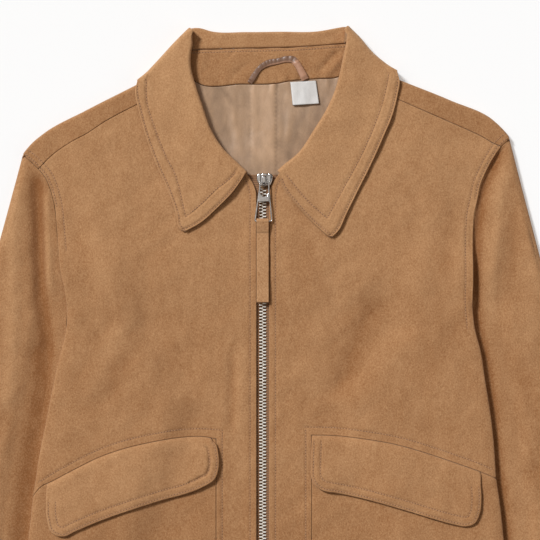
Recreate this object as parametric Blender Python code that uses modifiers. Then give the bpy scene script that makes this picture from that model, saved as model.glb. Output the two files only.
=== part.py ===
"""A suede zip jacket laid flat, face up, as one object for each cut-and-sewn piece.

The sizes are in millimetres and are turned into Blender's metres where a mesh is made.
While it is built, X runs across the jacket, Y runs up it from the centre of the back neck
seam, and Z rises from the surface it lies on. At the end a parent empty moves the origin
below the middle of the whole outline. "Right" and "left" are the wearer's, so the right
side lies at negative X. Tables that serve one side count "out", away from the centre line.

Every cloth piece is an open sheet at the middle of its wall, thickened with Solidify. The
body pieces share one lattice of triangles, so pieces that lie on each other stay parallel.
"""

import math
from collections import namedtuple

import bmesh
import bpy
import numpy as np
from mathutils import Matrix

MM = 0.001

# Cloth walls: the shell is suede cloth with its backing, the trims are single cloth.
WALL = 2.0
TRIM_WALL = 1.0
SEAM_GAP = 0.5
LAYER_GAP = 0.3
LOFT = 3.4
EDGE_LOFT = 0.6
SIDE_TURN = 4.0

# The turn of the back over the shoulders, at the middle of its wall.
TURN_RADIUS = (WALL + LOFT) / 2
SHOULDER_INSET = TURN_RADIUS + WALL / 2 + 0.2

# Outline of the laid garment.
HEM_Y = -672.0
PANEL_SEAM_OUT = 44.5
PANEL_SEAM = tuple((PANEL_SEAM_OUT, y) for y in (-450, -560, HEM_Y))
ZIP_X = -1.1
ZIP_SLOT = 11.6
ZIP_TOP_Y = -86.0

# The lattice that the body pieces are cut on.
CELL_X = 24.0
CELL_Y = 34.0
SNAP = 0.5
WELD = 0.3

# Sleeves: flattened tubes that run under the sides of the body.
SLEEVE_TOP = 2 * WALL + LOFT
SLEEVE_TUCKED_TOP = 5.4
CUFF_OUT = 385.0
CUFF_Y = -686.0
CUFF_WIDTH = 110.0
SLEEVE_ANGLE = math.radians(14.4)
UNDERARM = ((160.0, -262.0), (136.0, -296.0))

# Heights that the sleeves and the fold of the collar add under the body.
TUCK_LIFT = 5.8
TUCK_FADE = 38.0
TUCK_MARGIN = 1.3 * CELL_Y
TUCK_START_Y = -140.0
COLLAR_LIFT = 2.4
COLLAR_LIFT_END = (200.0, -225.0)
COLLAR_FADE = 48.0

# Collar.
ROLL_RADIUS = 2.2
FALL_LOW = WALL / 2
BAND_HEIGHT = FALL_LOW + 2 * ROLL_RADIUS
LEAF_REST = COLLAR_LIFT + 2 * WALL + LOFT + 0.8 + WALL / 2
LEAF_ROLL_HEIGHT = 15.6

# Zip, slider, pull and strap. The pull swings on its top bar, inside the slider's bridge.
CHAIN_WIDTH = 6.6
CHAIN_TOP_Y = -98.5
CHAIN_END_Y = HEM_Y + 26.0
TAPE_WIDTH = 11.0
TAPE_END_Y = HEM_Y + 20.0
FRONT_TOP = COLLAR_LIFT + 2 * WALL + LOFT
PLATE_LOW = FRONT_TOP + 0.3
PLATE_THICK = 1.6
BAR = 1.5
HINGE = (0.2, -93.5, PLATE_LOW + PLATE_THICK + 1.1)
PULL_LENGTH = 35.9
BRIDGE_WIDTH = 3.6
STRAP_X = (-6.9, 4.5)
STRAP_END_Y = -205.0
STRAP_THICK = 2.4
STRAP_JOIN = 10.5

Side = namedtuple(
    "Side", "name sign shoulder seam armhole edge neckline pocket_seam flap leaf"
)
Leaf = namedtuple("Leaf", "roll lower outer fold")

# Each row is (out, y). "shoulder" and "seam" are the folded shoulder and the seam that
# lies forward of it; "edge" is the side of the body from the armhole to the hem.
RIGHT = Side(
    name="right",
    sign=-1,
    shoulder=((74, 21.5), (119, -2.2), (165, -25.5), (210, -50.2), (221, -61)),
    seam=((74, 1), (119, -21.4), (149, -37.5), (165, -48), (181, -56.6), (193, -64.6),
          (204, -74.3), (210, -81)),
    armhole=((225, -68), (216, -75), (210, -81), (204, -88), (200, -97), (195, -116),
             (193, -137), (191, -157), (189, -175), (185, -193), (183, -211), (184, -230)),
    edge=((189, -252), (193, -268), (197, -287), (201, -308), (209, -348), (214.5, -385),
          (219, -426), (223, -540), (225, HEM_Y)),
    neckline=((74, 1), (72.5, -8), (65, -28), (57, -47), (45, -65), (30, -79), (16, -85)),
    pocket_seam=((214.5, -385), (208.7, -377.6), (194.4, -369.8), (174.8, -359.4),
                 (155, -349.6), (135.6, -342.4), (116, -337.2), (96.4, -333.2),
                 (76.8, -330.6), (56, -330), (PANEL_SEAM_OUT, -332)),
    flap=((42.3, -344), (41.7, -357.4), (45.6, -369.2), (57.3, -376.9), (70.3, -382.2),
          (96.4, -389.4), (116, -395.3), (135.6, -401.8), (155, -408.9), (174.8, -417.4),
          (185.2, -422), (191.7, -421.3), (196.9, -418), (201.4, -405.5), (202.1, -387.4)),
    leaf=Leaf(
        roll=((15.3, -83.5), (24.7, -74.7), (38.4, -61), (49.4, -43.3), (56.2, -24.2),
              (61.7, -7.8), (67.8, 16), (67.8, 23.5), (66.4, 37), (69.3, 51.2)),
        lower=((15.3, -84.3), (30.2, -104.7), (43.9, -118.3), (57.7, -130.6), (75.2, -140.2)),
        outer=((75.2, -140.2), (79.3, -134.7), (81.4, -123.8), (88.9, -101.9), (98.6, -80.2),
               (106.7, -59.7), (113.5, -37.9), (116.9, -24.2), (119.6, -10.5), (119.2, -2.3),
               (116.9, 2.4), (112, 6.6)),
        fold=((69.3, 51.2), (82.1, 38.6), (98.6, 20.8), (110, 8.6), (112, 6.6)),
    ),
)

LEFT = Side(
    name="left",
    sign=1,
    shoulder=((82, 20), (125.7, 2.6), (174, -16.6), (212, -33.5), (224, -46)),
    seam=((82, 1), (125.7, -16.7), (142, -23.8), (166, -34.2), (190, -44.6), (202, -50.1),
          (214, -57), (221, -60)),
    armhole=((229, -53), (221, -60), (214, -70), (207, -83), (202, -95), (199, -109),
             (196, -123), (195, -136), (194.5, -154), (194.5, -184), (194, -207), (196, -228)),
    edge=((202, -252), (206, -279), (210, -303), (213, -327), (216, -368.5), (220, -396),
          (223, -426), (227, -540), (230, HEM_Y)),
    neckline=((82, 1), (76.3, -9.3), (67.9, -28.8), (56.7, -47.4), (40.9, -68.8), (24, -80),
              (14, -85)),
    pocket_seam=((216, -368.5), (200.3, -362), (180.8, -355), (161.2, -348.3), (141.6, -342),
                 (122, -336.8), (102.5, -333.2), (82.8, -330.6), (63.2, -328.9),
                 (PANEL_SEAM_OUT, -328.5)),
    flap=((43.7, -353.4), (44.4, -369.2), (47.7, -375), (54.2, -379.6), (67.2, -382.2),
          (82.8, -385.5), (102.5, -390), (122, -395.3), (141.6, -401.1), (161.2, -407),
          (178.2, -411.5), (187.3, -412.8), (195.1, -410.2), (200.3, -400.5), (201.8, -387.4),
          (201.3, -373)),
    leaf=Leaf(
        roll=((12.1, -82.8), (14.9, -80), (32.6, -65), (46.2, -44.6), (57.1, -27), (65.3, -9.2),
              (69.4, 4.5), (73.5, 23.5), (76.3, 37), (78.1, 53)),
        lower=((12.1, -84), (18.9, -100.6), (28.5, -112.9), (43.4, -129.3), (61.8, -145.6)),
        outer=((61.8, -145.6), (67.9, -140.2), (77.6, -121.1), (87.1, -101.9), (98, -80.2),
               (111.6, -50.1), (119.9, -29.7), (124.6, -10.5), (126.4, 3.8), (124, 10),
               (119, 13.5)),
        fold=((78.1, 53), (89.8, 41.3), (100.8, 28.4), (114.4, 16.7), (119, 13.5)),
    ),
)
SIDES = (RIGHT, LEFT)

# The back neck, from the wearer's right to the left, as (x, y).
NECK_SEAM = ((-74, 10), (-69, 4), (-61, -1.3), (-20, -2), (10, -1.5), (25, 1), (48, 3),
             (69, 4.7), (77, 8), (82, 13))
STAND_TOP = ((-72, 30), (-16, 31.7), (26, 32.7), (79, 36.3))
COLLAR_TOP = ((-69.3, 51.2), (-59.5, 50.9), (-50, 48.1), (-16, 47.2), (15, 47.5), (52, 48.1),
              (67, 50.9), (78.1, 53))
FALL_HIDDEN_EDGE = ((-112, 6.6), (-100, -7), (-60, -16), (0, -19), (60, -15), (105, 0), (119, 13.5))

HANGER_LOOP = ((-13.3, -0.5), (-9, 6), (-3.3, 12.5), (1.5, 16.6), (13, 20), (24.5, 22.2),
               (31, 20.5), (36, 15.5), (38.4, 10), (39, 4.5))
LOOP_WIDTH = 6.5
LABEL_CORNERS = ((24.4, 0.2), (48.6, 1.6), (51.6, -20.2), (26.7, -21.8))


# ---------------------------------------------------------------- heights


def ease(t):
    """A soft step from 0 to 1."""
    t = np.clip(t, 0, 1)
    return t * t * (3 - 2 * t)


def out_at(rows, y):
    """The out value of a side's line at height y, for rows that run down the jacket."""
    rows = np.asarray(rows, float)[::-1]
    return np.interp(y, rows[:, 1], rows[:, 0])


def cuff_line():
    """The outer and the inner end of a cuff's edge."""
    inner = (
        CUFF_OUT - CUFF_WIDTH * math.cos(SLEEVE_ANGLE),
        CUFF_Y - CUFF_WIDTH * math.sin(SLEEVE_ANGLE),
    )
    return (CUFF_OUT, CUFF_Y), inner


def sleeve_inner(side):
    """The hidden inner edge of the sleeve, below the curve of the armhole."""
    return side.armhole[5:] + (UNDERARM[-1], cuff_line()[1])


def by_side(x, right_value, left_value):
    return np.where(np.asarray(x) < 0, right_value, left_value)


def raw_lift(x, y):
    """How far the back's underside is held off the surface, by a sleeve or by the collar."""
    out = np.abs(x)
    tuck_out = by_side(x, out_at(sleeve_inner(RIGHT), y), out_at(sleeve_inner(LEFT), y))
    tuck = ease((out - tuck_out + TUCK_MARGIN + TUCK_FADE) / TUCK_FADE)
    tuck = tuck * ease((TUCK_START_Y - y) / TUCK_FADE)
    across, down = COLLAR_LIFT_END
    collar = ease((across - out) / COLLAR_FADE) * ease((y - down) / COLLAR_FADE)
    return TUCK_LIFT * tuck + COLLAR_LIFT * collar * (1 - tuck)


Crease = namedtuple("Crease", "x0 y0 x1 y1 width depth")
CREASES = (
    Crease(-31, -235, -33, -345, 15, -0.9),
    Crease(86, -215, 64, -305, 22, -1.2),
    Crease(-80, -150, -125, -250, 26, -1.0),
    Crease(-150, -120, -120, -230, 30, 0.7),
)


def raw_crease(x, y):
    """Soft troughs and ridges of the fronts: a bell across each line, faded at its ends."""
    total = 0 * x
    for crease in CREASES:
        along = np.array((crease.x1 - crease.x0, crease.y1 - crease.y0))
        length = np.hypot(*along)
        along = along / length
        t = (x - crease.x0) * along[0] + (y - crease.y0) * along[1]
        away = (x - crease.x0) * along[1] - (y - crease.y0) * along[0]
        fade = ease(1 + t / 30) * ease(1 + (length - t) / 30)
        total = total + crease.depth * np.exp(-((away / crease.width) ** 2)) * fade
    return total


def on_lattice(height):
    """The same height, but flat over each triangle of the lattice."""

    def flat(x, y):
        x, y = np.asarray(x, float) / CELL_X, np.asarray(y, float) / CELL_Y
        i, j = np.floor(x), np.floor(y)
        fx, fy = x - i, y - j
        here, right, up, both = (
            height((i + a) * CELL_X, (j + b) * CELL_Y)
            for a, b in ((0, 0), (1, 0), (0, 1), (1, 1))
        )
        lower = here + fx * (right - here) + fy * (up - here)
        upper = both + (1 - fx) * (up - both) + (1 - fy) * (right - both)
        return np.where(fx + fy <= 1, lower, upper)

    return flat


lift = on_lattice(raw_lift)
crease = on_lattice(raw_crease)


def distance_to(rows, x, y):
    """The shortest distance from each point to a line of (x, y) rows."""
    rows = np.asarray(rows, float)
    best = np.full(np.shape(x), 1e9)
    for (ax, ay), (bx, by) in zip(rows, rows[1:]):
        t = ((x - ax) * (bx - ax) + (y - ay) * (by - ay)) / ((bx - ax) ** 2 + (by - ay) ** 2)
        t = np.clip(t, 0, 1)
        best = np.minimum(best, np.hypot(x - ax - t * (bx - ax), y - ay - t * (by - ay)))
    return best


def closed_edges(side):
    """The side seam and the hem, where the front comes down onto the back."""
    out = side.armhole[-1:] + side.edge + ((0, HEM_Y),)
    return [(side.sign * a, y) for a, y in out]


def front_middle(side):
    """The height of the middle of the front's wall."""

    def height(x, y):
        near = np.clip(distance_to(closed_edges(side), x, y) / SIDE_TURN, 0, 1)
        loft = EDGE_LOFT + (LOFT - EDGE_LOFT) * near
        return lift(x, y) + WALL * 1.5 + loft + crease(x, y) * near

    return height


def back_middle(x, y):
    return lift(x, y) + WALL / 2


# ---------------------------------------------------------------- making objects


def clear_scene():
    for obj in list(bpy.data.objects):
        bpy.data.objects.remove(obj)


def make_collection(name, hidden=False):
    collection = bpy.data.collections.new(name)
    bpy.context.scene.collection.children.link(collection)
    collection.hide_render = hidden
    return collection


def make_material(name, colour, roughness, metallic=0.0):
    material = bpy.data.materials.new(name)
    material.use_nodes = True
    shader = material.node_tree.nodes["Principled BSDF"]
    shader.inputs["Base Color"].default_value = (*colour, 1)
    shader.inputs["Roughness"].default_value = roughness
    shader.inputs["Metallic"].default_value = metallic
    material.diffuse_color = (*colour, 1)
    return material


def add_object(name, mesh, material, collection):
    mesh.materials.append(material)
    mesh.shade_smooth()
    mesh.set_sharp_from_angle(angle=math.radians(40))
    obj = bpy.data.objects.new(name, mesh)
    collection.objects.link(obj)
    return obj


def mesh_from_bmesh(name, bm):
    """Turns a bmesh in millimetres into a mesh in metres."""
    bmesh.ops.scale(bm, vec=(MM, MM, MM), verts=bm.verts)
    mesh = bpy.data.meshes.new(name)
    bm.to_mesh(mesh)
    bm.free()
    return mesh


def thicken(obj, wall, offset=0.0):
    solidify = obj.modifiers.new("Wall", "SOLIDIFY")
    solidify.thickness = wall * MM
    solidify.offset = offset
    return obj


def grow(points, distance):
    """Moves each corner of a closed counterclockwise outline outwards by the distance."""
    points = np.asarray(points, float)
    before = points - np.roll(points, 1, axis=0)
    after = np.roll(points, -1, axis=0) - points
    before /= np.linalg.norm(before, axis=1)[:, None]
    after /= np.linalg.norm(after, axis=1)[:, None]
    normal = np.stack([before[:, 1] + after[:, 1], -before[:, 0] - after[:, 0]], axis=1)
    stretch = 1 + (before * after).sum(axis=1)
    return points + distance * normal / np.maximum(stretch, 0.5)[:, None]


def shrink(points):
    """Takes half a seam gap off a closed outline, whichever way round it runs."""
    points = np.asarray(points, float)
    ahead = np.roll(points, -1, axis=0)
    area = (points[:, 0] * ahead[:, 1] - points[:, 1] * ahead[:, 0]).sum()
    return grow(points, -SEAM_GAP / 2 if area > 0 else SEAM_GAP / 2)


def cut_along(bm, point, normal):
    everything = bm.verts[:] + bm.edges[:] + bm.faces[:]
    bmesh.ops.bisect_plane(
        bm, geom=everything, dist=SNAP, plane_co=(*point, 0), plane_no=(*normal, 0)
    )


def cut_on_lattice(bm, points):
    """Cuts a flat bmesh along the lattice's lines across, up and along its diagonals."""
    low, high = points.min(axis=0), points.max(axis=0)
    cell = np.array((CELL_X, CELL_Y))
    families = (
        ((1.0, 0.0), CELL_X, low[0], high[0]),
        ((0.0, 1.0), CELL_Y, low[1], high[1]),
        ((CELL_Y, CELL_X), CELL_X * CELL_Y, *(np.array((low, high)) / cell).sum(axis=1)
         * CELL_X * CELL_Y),
    )
    for normal, step, start, end in families:
        normal = np.array(normal)
        size = np.hypot(*normal)
        for k in range(math.ceil(start / step), math.floor(end / step) + 1):
            cut_along(bm, normal * k * step / size**2, normal / size)


def panel(outline, height, turn=0.0, cuts=()):
    """A flat outline cut on the lattice and laid at a height, as a mesh of its middle. It
    may also be cut along a line just inside its edge, and across at each x in cuts."""
    outline = shrink(outline)
    bm = bmesh.new()
    face = bm.faces.new([bm.verts.new((x, y, 0)) for x, y in outline])
    if turn:
        face.normal_update()
        bmesh.ops.inset_region(bm, faces=[face], thickness=turn, use_boundary=True)
    cut_on_lattice(bm, outline)
    for x in cuts:
        cut_along(bm, (x, 0), (1, 0))
    bmesh.ops.remove_doubles(bm, verts=bm.verts, dist=WELD)
    bmesh.ops.triangulate(bm, faces=bm.faces[:])
    flat = np.array([v.co[:] for v in bm.verts])
    for vert, z in zip(bm.verts, height(flat[:, 0], flat[:, 1])):
        vert.co.z = z
    bmesh.ops.recalc_face_normals(bm, faces=bm.faces[:])
    if sum(face.normal.z for face in bm.faces) < 0:
        bmesh.ops.reverse_faces(bm, faces=bm.faces[:])
    return bm


def cloth_panel(name, outline, height, material, collection, wall=WALL, **cuts):
    bm = panel(outline, height, **cuts)
    return thicken(add_object(name, mesh_from_bmesh(name, bm), material, collection), wall)


def add_quads(bm, rows, loop_rows=False):
    """Fills rows of vertices with quads. The rows may be closed rings."""
    columns = len(rows[0])
    for row, above in zip(rows, rows[1:]):
        for j in range(columns if loop_rows else columns - 1):
            k = (j + 1) % columns
            bm.faces.new((row[j], row[k], above[k], above[j]))


def grid_mesh(points, loop_rows=False):
    bm = bmesh.new()
    add_quads(bm, [[bm.verts.new(p) for p in row] for row in points], loop_rows)
    return bm


def resample(rows, count):
    """Points at even steps along a line of rows."""
    rows = np.asarray(rows, float)
    steps = np.r_[0, np.cumsum(np.hypot(*np.diff(rows, axis=0).T))]
    at = np.linspace(0, steps[-1], count)
    return np.stack([np.interp(at, steps, rows[:, k]) for k in range(rows.shape[1])], axis=1)


def coons(start, end, first, last):
    """Fills four border lines: start and end run across, first and last join their ends."""
    u = np.linspace(0, 1, len(first))[:, None, None]
    v = np.linspace(0, 1, len(start))[None, :, None]
    across = (1 - u) * start[None] + u * end[None]
    along = (1 - v) * first[:, None] + v * last[:, None]
    corners = (
        (1 - u) * (1 - v) * start[0]
        + (1 - u) * v * start[-1]
        + u * (1 - v) * end[0]
        + u * v * end[-1]
    )
    return across + along - corners


def mirrored(rows, side):
    return [(side.sign * out, y) for out, y in rows]


# ---------------------------------------------------------------- the body


def front_outline(side):
    """The upper front: down the armhole and side, along the pocket seam, and up the zip."""
    zip_out = side.sign * ZIP_X + ZIP_SLOT / 2
    above = [row for row in side.edge if row[1] > side.pocket_seam[0][1]]
    rows = (
        list(side.seam[:-1])
        + list(side.armhole[side.armhole.index(side.seam[-1]):])
        + above
        + list(side.pocket_seam)
        + list(PANEL_SEAM)
        + [(zip_out, HEM_Y), (zip_out, ZIP_TOP_Y)]
        + list(side.neckline[:0:-1])
    )
    return mirrored(rows, side)


def lower_front_outline(side):
    below = [row for row in side.edge if row[1] < side.pocket_seam[0][1]]
    return mirrored(list(side.pocket_seam + PANEL_SEAM) + below[::-1], side)


def flap_outline(side):
    """The flap hangs from the pocket seam, so its top edge is a stretch of that seam."""
    out_end = side.flap[-1][0]
    top = [row for row in side.pocket_seam if PANEL_SEAM_OUT - 1 < row[0] < out_end - 3]
    seam = np.asarray(side.pocket_seam, float)[::-1]
    corner = (out_end, float(np.interp(out_end, seam[:, 0], seam[:, 1])))
    return mirrored([corner] + top + list(side.flap), side)


def build_fronts(suede, collection):
    for side in SIDES:
        height = front_middle(side)
        cloth_panel(f"front_{side.name}", front_outline(side), height, suede, collection,
                    turn=SIDE_TURN)
        cloth_panel(f"lower_front_{side.name}", lower_front_outline(side), height, suede,
                    collection, turn=SIDE_TURN)
        cloth_panel(
            f"pocket_flap_{side.name}",
            flap_outline(side),
            lambda x, y, height=height: height(x, y) + WALL + SEAM_GAP,
            suede,
            collection,
        )


def shoulder_line(side):
    """The line that the back turns on, with a corner at each corner of the forward seam."""
    rows = np.asarray(side.shoulder, float)
    ends = (rows[0, 0], rows[-1, 0])
    outs = sorted({out for out, _ in side.seam + side.shoulder if ends[0] <= out <= ends[1]})
    return [(out, float(np.interp(out, *rows.T)) - SHOULDER_INSET) for out in outs]


def back_outline():
    """The back as it lies: up one side, over the shoulders and neck, and down the other."""
    outline = []
    for side in SIDES:
        rows = (
            list(side.edge[::-1])
            + list(side.armhole[:0:-1])
            + shoulder_line(side)[::-1]
        )
        outline.append(mirrored(rows, side))
    return outline[0] + list(NECK_SEAM[1:-1]) + outline[1][::-1]


def shoulder_end(side, out):
    """Where the turned cloth ends: at the forward seam, or at the armhole beyond it."""
    armhole = np.asarray(side.armhole[3::-1], float)
    seam = np.interp(out, *np.transpose(side.seam))
    return max(seam, np.interp(out, *armhole.T)) + SEAM_GAP / 2


def build_back(suede, collection):
    """The back, with its top edge turned over the shoulders and on to the forward seams."""
    bm = panel(back_outline(), back_middle)
    bmesh.ops.reverse_faces(bm, faces=bm.faces[:])
    lines = {side: np.array(shoulder_line(side)).T for side in SIDES}

    def place(vert):
        side = RIGHT if vert.co.x < 0 else LEFT
        out = abs(vert.co.x)
        line = lines[side]
        on_line = line[0, 0] - 0.6 < out < line[0, -1] + 0.6
        return side, out, np.interp(out, *line), on_line

    def on_shoulder(vert):
        _, _, line_y, on_line = place(vert)
        return on_line and abs(line_y - vert.co.y) < 1.0

    edges = [e for e in bm.edges if e.is_boundary and all(map(on_shoulder, e.verts))]
    for turn in (0.2, 0.4, 0.6, 0.8, 1.0, "flat"):
        made = bmesh.ops.extrude_edge_only(bm, edges=edges)["geom"]
        edges = [item for item in made if isinstance(item, bmesh.types.BMEdge)]
        for vert in (item for item in made if isinstance(item, bmesh.types.BMVert)):
            side, out, line_y, _ = place(vert)
            angle = math.pi * (1.0 if turn == "flat" else turn)
            vert.co.y = line_y + TURN_RADIUS * math.sin(angle)
            if turn == "flat":
                vert.co.y = min(shoulder_end(side, out), line_y - 0.5)
            rise = TURN_RADIUS * (1 - math.cos(angle))
            vert.co.z = float(lift(vert.co.x, vert.co.y)) + WALL / 2 + rise
    bmesh.ops.recalc_face_normals(bm, faces=bm.faces[:])
    return thicken(add_object("back", mesh_from_bmesh("back", bm), suede, collection), WALL)


# ---------------------------------------------------------------- sleeves


SLEEVE_STATIONS = (0, 0.02, 0.05, 0.09, 0.14, 0.2, 0.27, 0.35, 0.44, 0.54, 0.65, 0.77, 0.9, 1)
SLEEVE_TUCK_Y = -175.0
SLEEVE_TUCK_FADE = 35.0
SLEEVE_RISE_OUT = 36.0
SLEEVE_RISE = 14.0
SEAM_SLANT = 0.42
TROUGH_DEPTH = 1.1
TROUGH_AWAY = 14.0
TROUGH_WIDTH = 9.0
TROUGH_END_Y = -420.0
TROUGH_FADE = 120.0


def sleeve_top(side, out, y, seam_away):
    """The height of the sleeve's top: lower under the body, with a trough by the seam. It
    rises to its full height between the body's edge and SLEEVE_RISE_OUT outside it."""
    edge_out = out_at(side.armhole[-1:] + side.edge, y)
    tucked = ease((SLEEVE_TUCK_Y - y) / SLEEVE_TUCK_FADE)
    tucked = tucked * ease((edge_out + SLEEVE_RISE_OUT - out) / SLEEVE_RISE)
    trough = np.exp(-(((seam_away - TROUGH_AWAY) / TROUGH_WIDTH) ** 2))
    trough = trough * ease((y - TROUGH_END_Y) / TROUGH_FADE) * (1 - tucked)
    return SLEEVE_TOP + (SLEEVE_TUCKED_TOP - SLEEVE_TOP) * tucked - TROUGH_DEPTH * trough


def sleeve_ring(line, top, across):
    """A closed section over a line: its top, a round edge, its flat bottom, a round edge."""
    width = np.hypot(*(line[-1] - line[0]))
    half = SLEEVE_TUCKED_TOP / 2
    turn = np.radians((0, 30, 60))
    at = half / width * (1 - np.cos(turn))
    u = np.r_[at, across[1:-1], 1 - at[::-1]]
    rise = np.r_[np.sin(turn), np.ones(len(across) - 2), np.sin(turn[::-1])]
    x, y = (np.interp(u, across, line[:, k]) for k in (0, 1))
    tops = np.interp(u, across, top)
    middle = np.interp(u, (0, 1), (tops[0] / 2, tops[-1] / 2))
    upper = np.stack([x, y, middle + (tops - middle) * rise], axis=1)
    lower = np.stack([x, y, middle * (1 - rise)], axis=1)
    return np.concatenate([upper, lower[-2:0:-1]])


def build_sleeve(side, suede, collection):
    """A flattened tube: rings from the armhole to the cuff, each round at its two edges. A
    point's distance from the armhole seam is its way down the sleeve times SEAM_SLANT."""
    head = np.array(side.armhole + UNDERARM, float)
    steps = np.r_[0, np.cumsum(np.hypot(*np.diff(head, axis=0).T))]
    across = steps / steps[-1]
    along = np.gradient(head, axis=0)
    outward = np.stack([-along[:, 1], along[:, 0]], axis=1) / np.hypot(*along.T)[:, None]
    head = head + outward * SEAM_GAP
    outer, inner = np.array(cuff_line())
    cuff = outer + (inner - outer) * across[:, None]
    rings = []
    for v in SLEEVE_STATIONS:
        line = head * (1 - v) + cuff * v
        away = np.hypot(*(line - head).T) * SEAM_SLANT
        rings.append(sleeve_ring(line, sleeve_top(side, *line.T, away), across))
    points = np.array(rings) * (side.sign, 1, 1)
    name = f"sleeve_{side.name}"
    bm = grid_mesh(points, loop_rows=True)
    bmesh.ops.recalc_face_normals(bm, faces=bm.faces[:])
    if sum(face.normal.z * (face.calc_center_median().z - WALL) for face in bm.faces) < 0:
        bmesh.ops.reverse_faces(bm, faces=bm.faces[:])
    mesh = mesh_from_bmesh(name, bm)
    return thicken(add_object(name, mesh, suede, collection), WALL, offset=-1)


# ---------------------------------------------------------------- collar


LEAF_COLUMNS = 11
BACK_COLUMNS = 14
FALL_ROWS = 8
FOLD_ANGLES = np.radians((90, 54, 18, -18, -54, -90))
FOLD_FLATTEN = 0.55
BAND_SPREAD = 5.5


def fall_column(xy, z, outward, over):
    """One line across the fall: a half turn of the roll, then the cloth to the outer edge.
    The roll's middle is set back so that its outer face touches the roll line."""
    outward = np.array((*outward, 0.0))
    end = np.array((*xy[0], z[0])) - outward * (ROLL_RADIUS + WALL / 2)
    centre = end - over * ROLL_RADIUS
    arc = [
        centre + ROLL_RADIUS * (math.sin(a) * outward - math.cos(a) * over)
        for a in np.radians((0, 45, 90, 135, 180))
    ]
    return np.array(arc + [(*p, h) for p, h in zip(xy[1:], z[1:])])


def leaf_columns(side):
    """The leaf that lies on one front, then the fold that turns it round the neck's side.
    A leaf rests on the front at its outer edge and rises to its roll."""
    leaf = side.leaf
    across = np.linspace(0, 1, FALL_ROWS)
    z = LEAF_REST + (LEAF_ROLL_HEIGHT - LEAF_REST) * (1 - ease(across / 0.75))
    patch = coons(
        resample(leaf.lower, FALL_ROWS), resample(leaf.fold, FALL_ROWS),
        resample(leaf.roll, LEAF_COLUMNS), resample(leaf.outer, LEAF_COLUMNS),
    ) * (side.sign, 1)
    along = np.gradient(patch[:, 0], axis=0)
    along /= np.hypot(*along.T)[:, None]
    inward = np.stack([along[:, 1], -along[:, 0]], axis=1) * -side.sign
    up = np.array((0, 0, 1.0))
    columns = [fall_column(patch[k], z, inward[k], up) for k in range(LEAF_COLUMNS - 1)]

    fold = patch[-1]
    run = (fold[0] - fold[-1]) / np.hypot(*(fold[0] - fold[-1]))
    out = np.array((-run[1], run[0])) * -side.sign
    radius = (z - FALL_LOW) / 2
    for angle in FOLD_ANGLES:
        push = FOLD_FLATTEN * radius * (math.cos(angle) - 1) - WALL / 2
        height = FALL_LOW + radius * (1 + math.sin(angle))
        over = np.array((*(out * math.cos(angle)), math.sin(angle)))
        columns.append(fall_column(fold + out * push[:, None], height, run, over))
    return columns


def build_collar_fall(suede, collection):
    """The fall: two leaves on top, joined round the sides of the neck by the part that
    lies behind it, and rolled over along its inner line. At the back its inner face comes
    down from the roll to the stand, spread at each end to pass under the leaves."""
    right, left = leaf_columns(RIGHT), leaf_columns(LEFT)
    behind = coons(
        resample(mirrored(RIGHT.leaf.fold, RIGHT), FALL_ROWS),
        resample(mirrored(LEFT.leaf.fold, LEFT), FALL_ROWS),
        resample(COLLAR_TOP, BACK_COLUMNS),
        resample(FALL_HIDDEN_EDGE, BACK_COLUMNS),
    )
    up, down = np.array((0, 1.0)), np.array((0, 0, -1.0))
    low = np.full(FALL_ROWS, FALL_LOW)
    middle = [fall_column(line, low, up, down) for line in behind[1:-1]]
    bm = bmesh.new()
    verts = [[bm.verts.new(p) for p in column] for column in right + middle + left[::-1]]
    add_quads(bm, verts)
    band = []
    for column in verts[len(right) - 1:len(verts) - len(left) + 1]:
        x, y, _ = column[0].co
        seam_y = np.interp(x, *np.transpose(STAND_TOP)) + SEAM_GAP / 2
        halfway = bm.verts.new((x, (y + seam_y) / 2, BAND_HEIGHT))
        band.append([column[0], halfway, bm.verts.new((x, seam_y, BAND_HEIGHT))])
    for column, spread in ((band[0], -BAND_SPREAD), (band[-1], BAND_SPREAD)):
        column[1].co.x += spread / 2
        column[2].co.x += spread
    add_quads(bm, band)
    bmesh.ops.recalc_face_normals(bm, faces=bm.faces[:])
    mesh = mesh_from_bmesh("collar_fall", bm)
    return thicken(add_object("collar_fall", mesh, suede, collection), WALL)


def build_collar_stand(suede, collection):
    lower = [(x, y + SEAM_GAP) for x, y in NECK_SEAM[1:-1]]
    low = COLLAR_LIFT + WALL + SEAM_GAP
    upper = [(x, y - SEAM_GAP / 2) for x, y in STAND_TOP]
    return strip("collar_stand", lower, upper, low, BAND_HEIGHT, 14, suede, collection, WALL)


def strip(name, lower, upper, low_z, high_z, count, material, collection, wall, rows=3):
    """A band of cloth between two lines, rising evenly from one height to another."""
    t = np.linspace(0, 1, rows)[:, None, None]
    grid = (1 - t) * resample(lower, count)[None] + t * resample(upper, count)[None]
    z = np.broadcast_to(low_z + (high_z - low_z) * t, (rows, count, 1))
    bm = grid_mesh(np.concatenate([grid, z], axis=2))
    bmesh.ops.recalc_face_normals(bm, faces=bm.faces[:])
    return thicken(add_object(name, mesh_from_bmesh(name, bm), material, collection), wall)


# ---------------------------------------------------------------- lining and trims


LINING_EDGE = ((-84, -10), (-76, -40), (-64, -68), (-45, -88), (-20, -96), (22, -96),
               (48, -88), (66, -66), (78, -40), (84, -12))
PLEAT = 11.5
PLEAT_STEP = 1.2
PLEAT_RISE = 0.6
PLEAT_END_Y = -84.0
PLEAT_FADE = 20.0
LOOP_POINTS = 22
LOOP_CLEAR = 0.7


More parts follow.
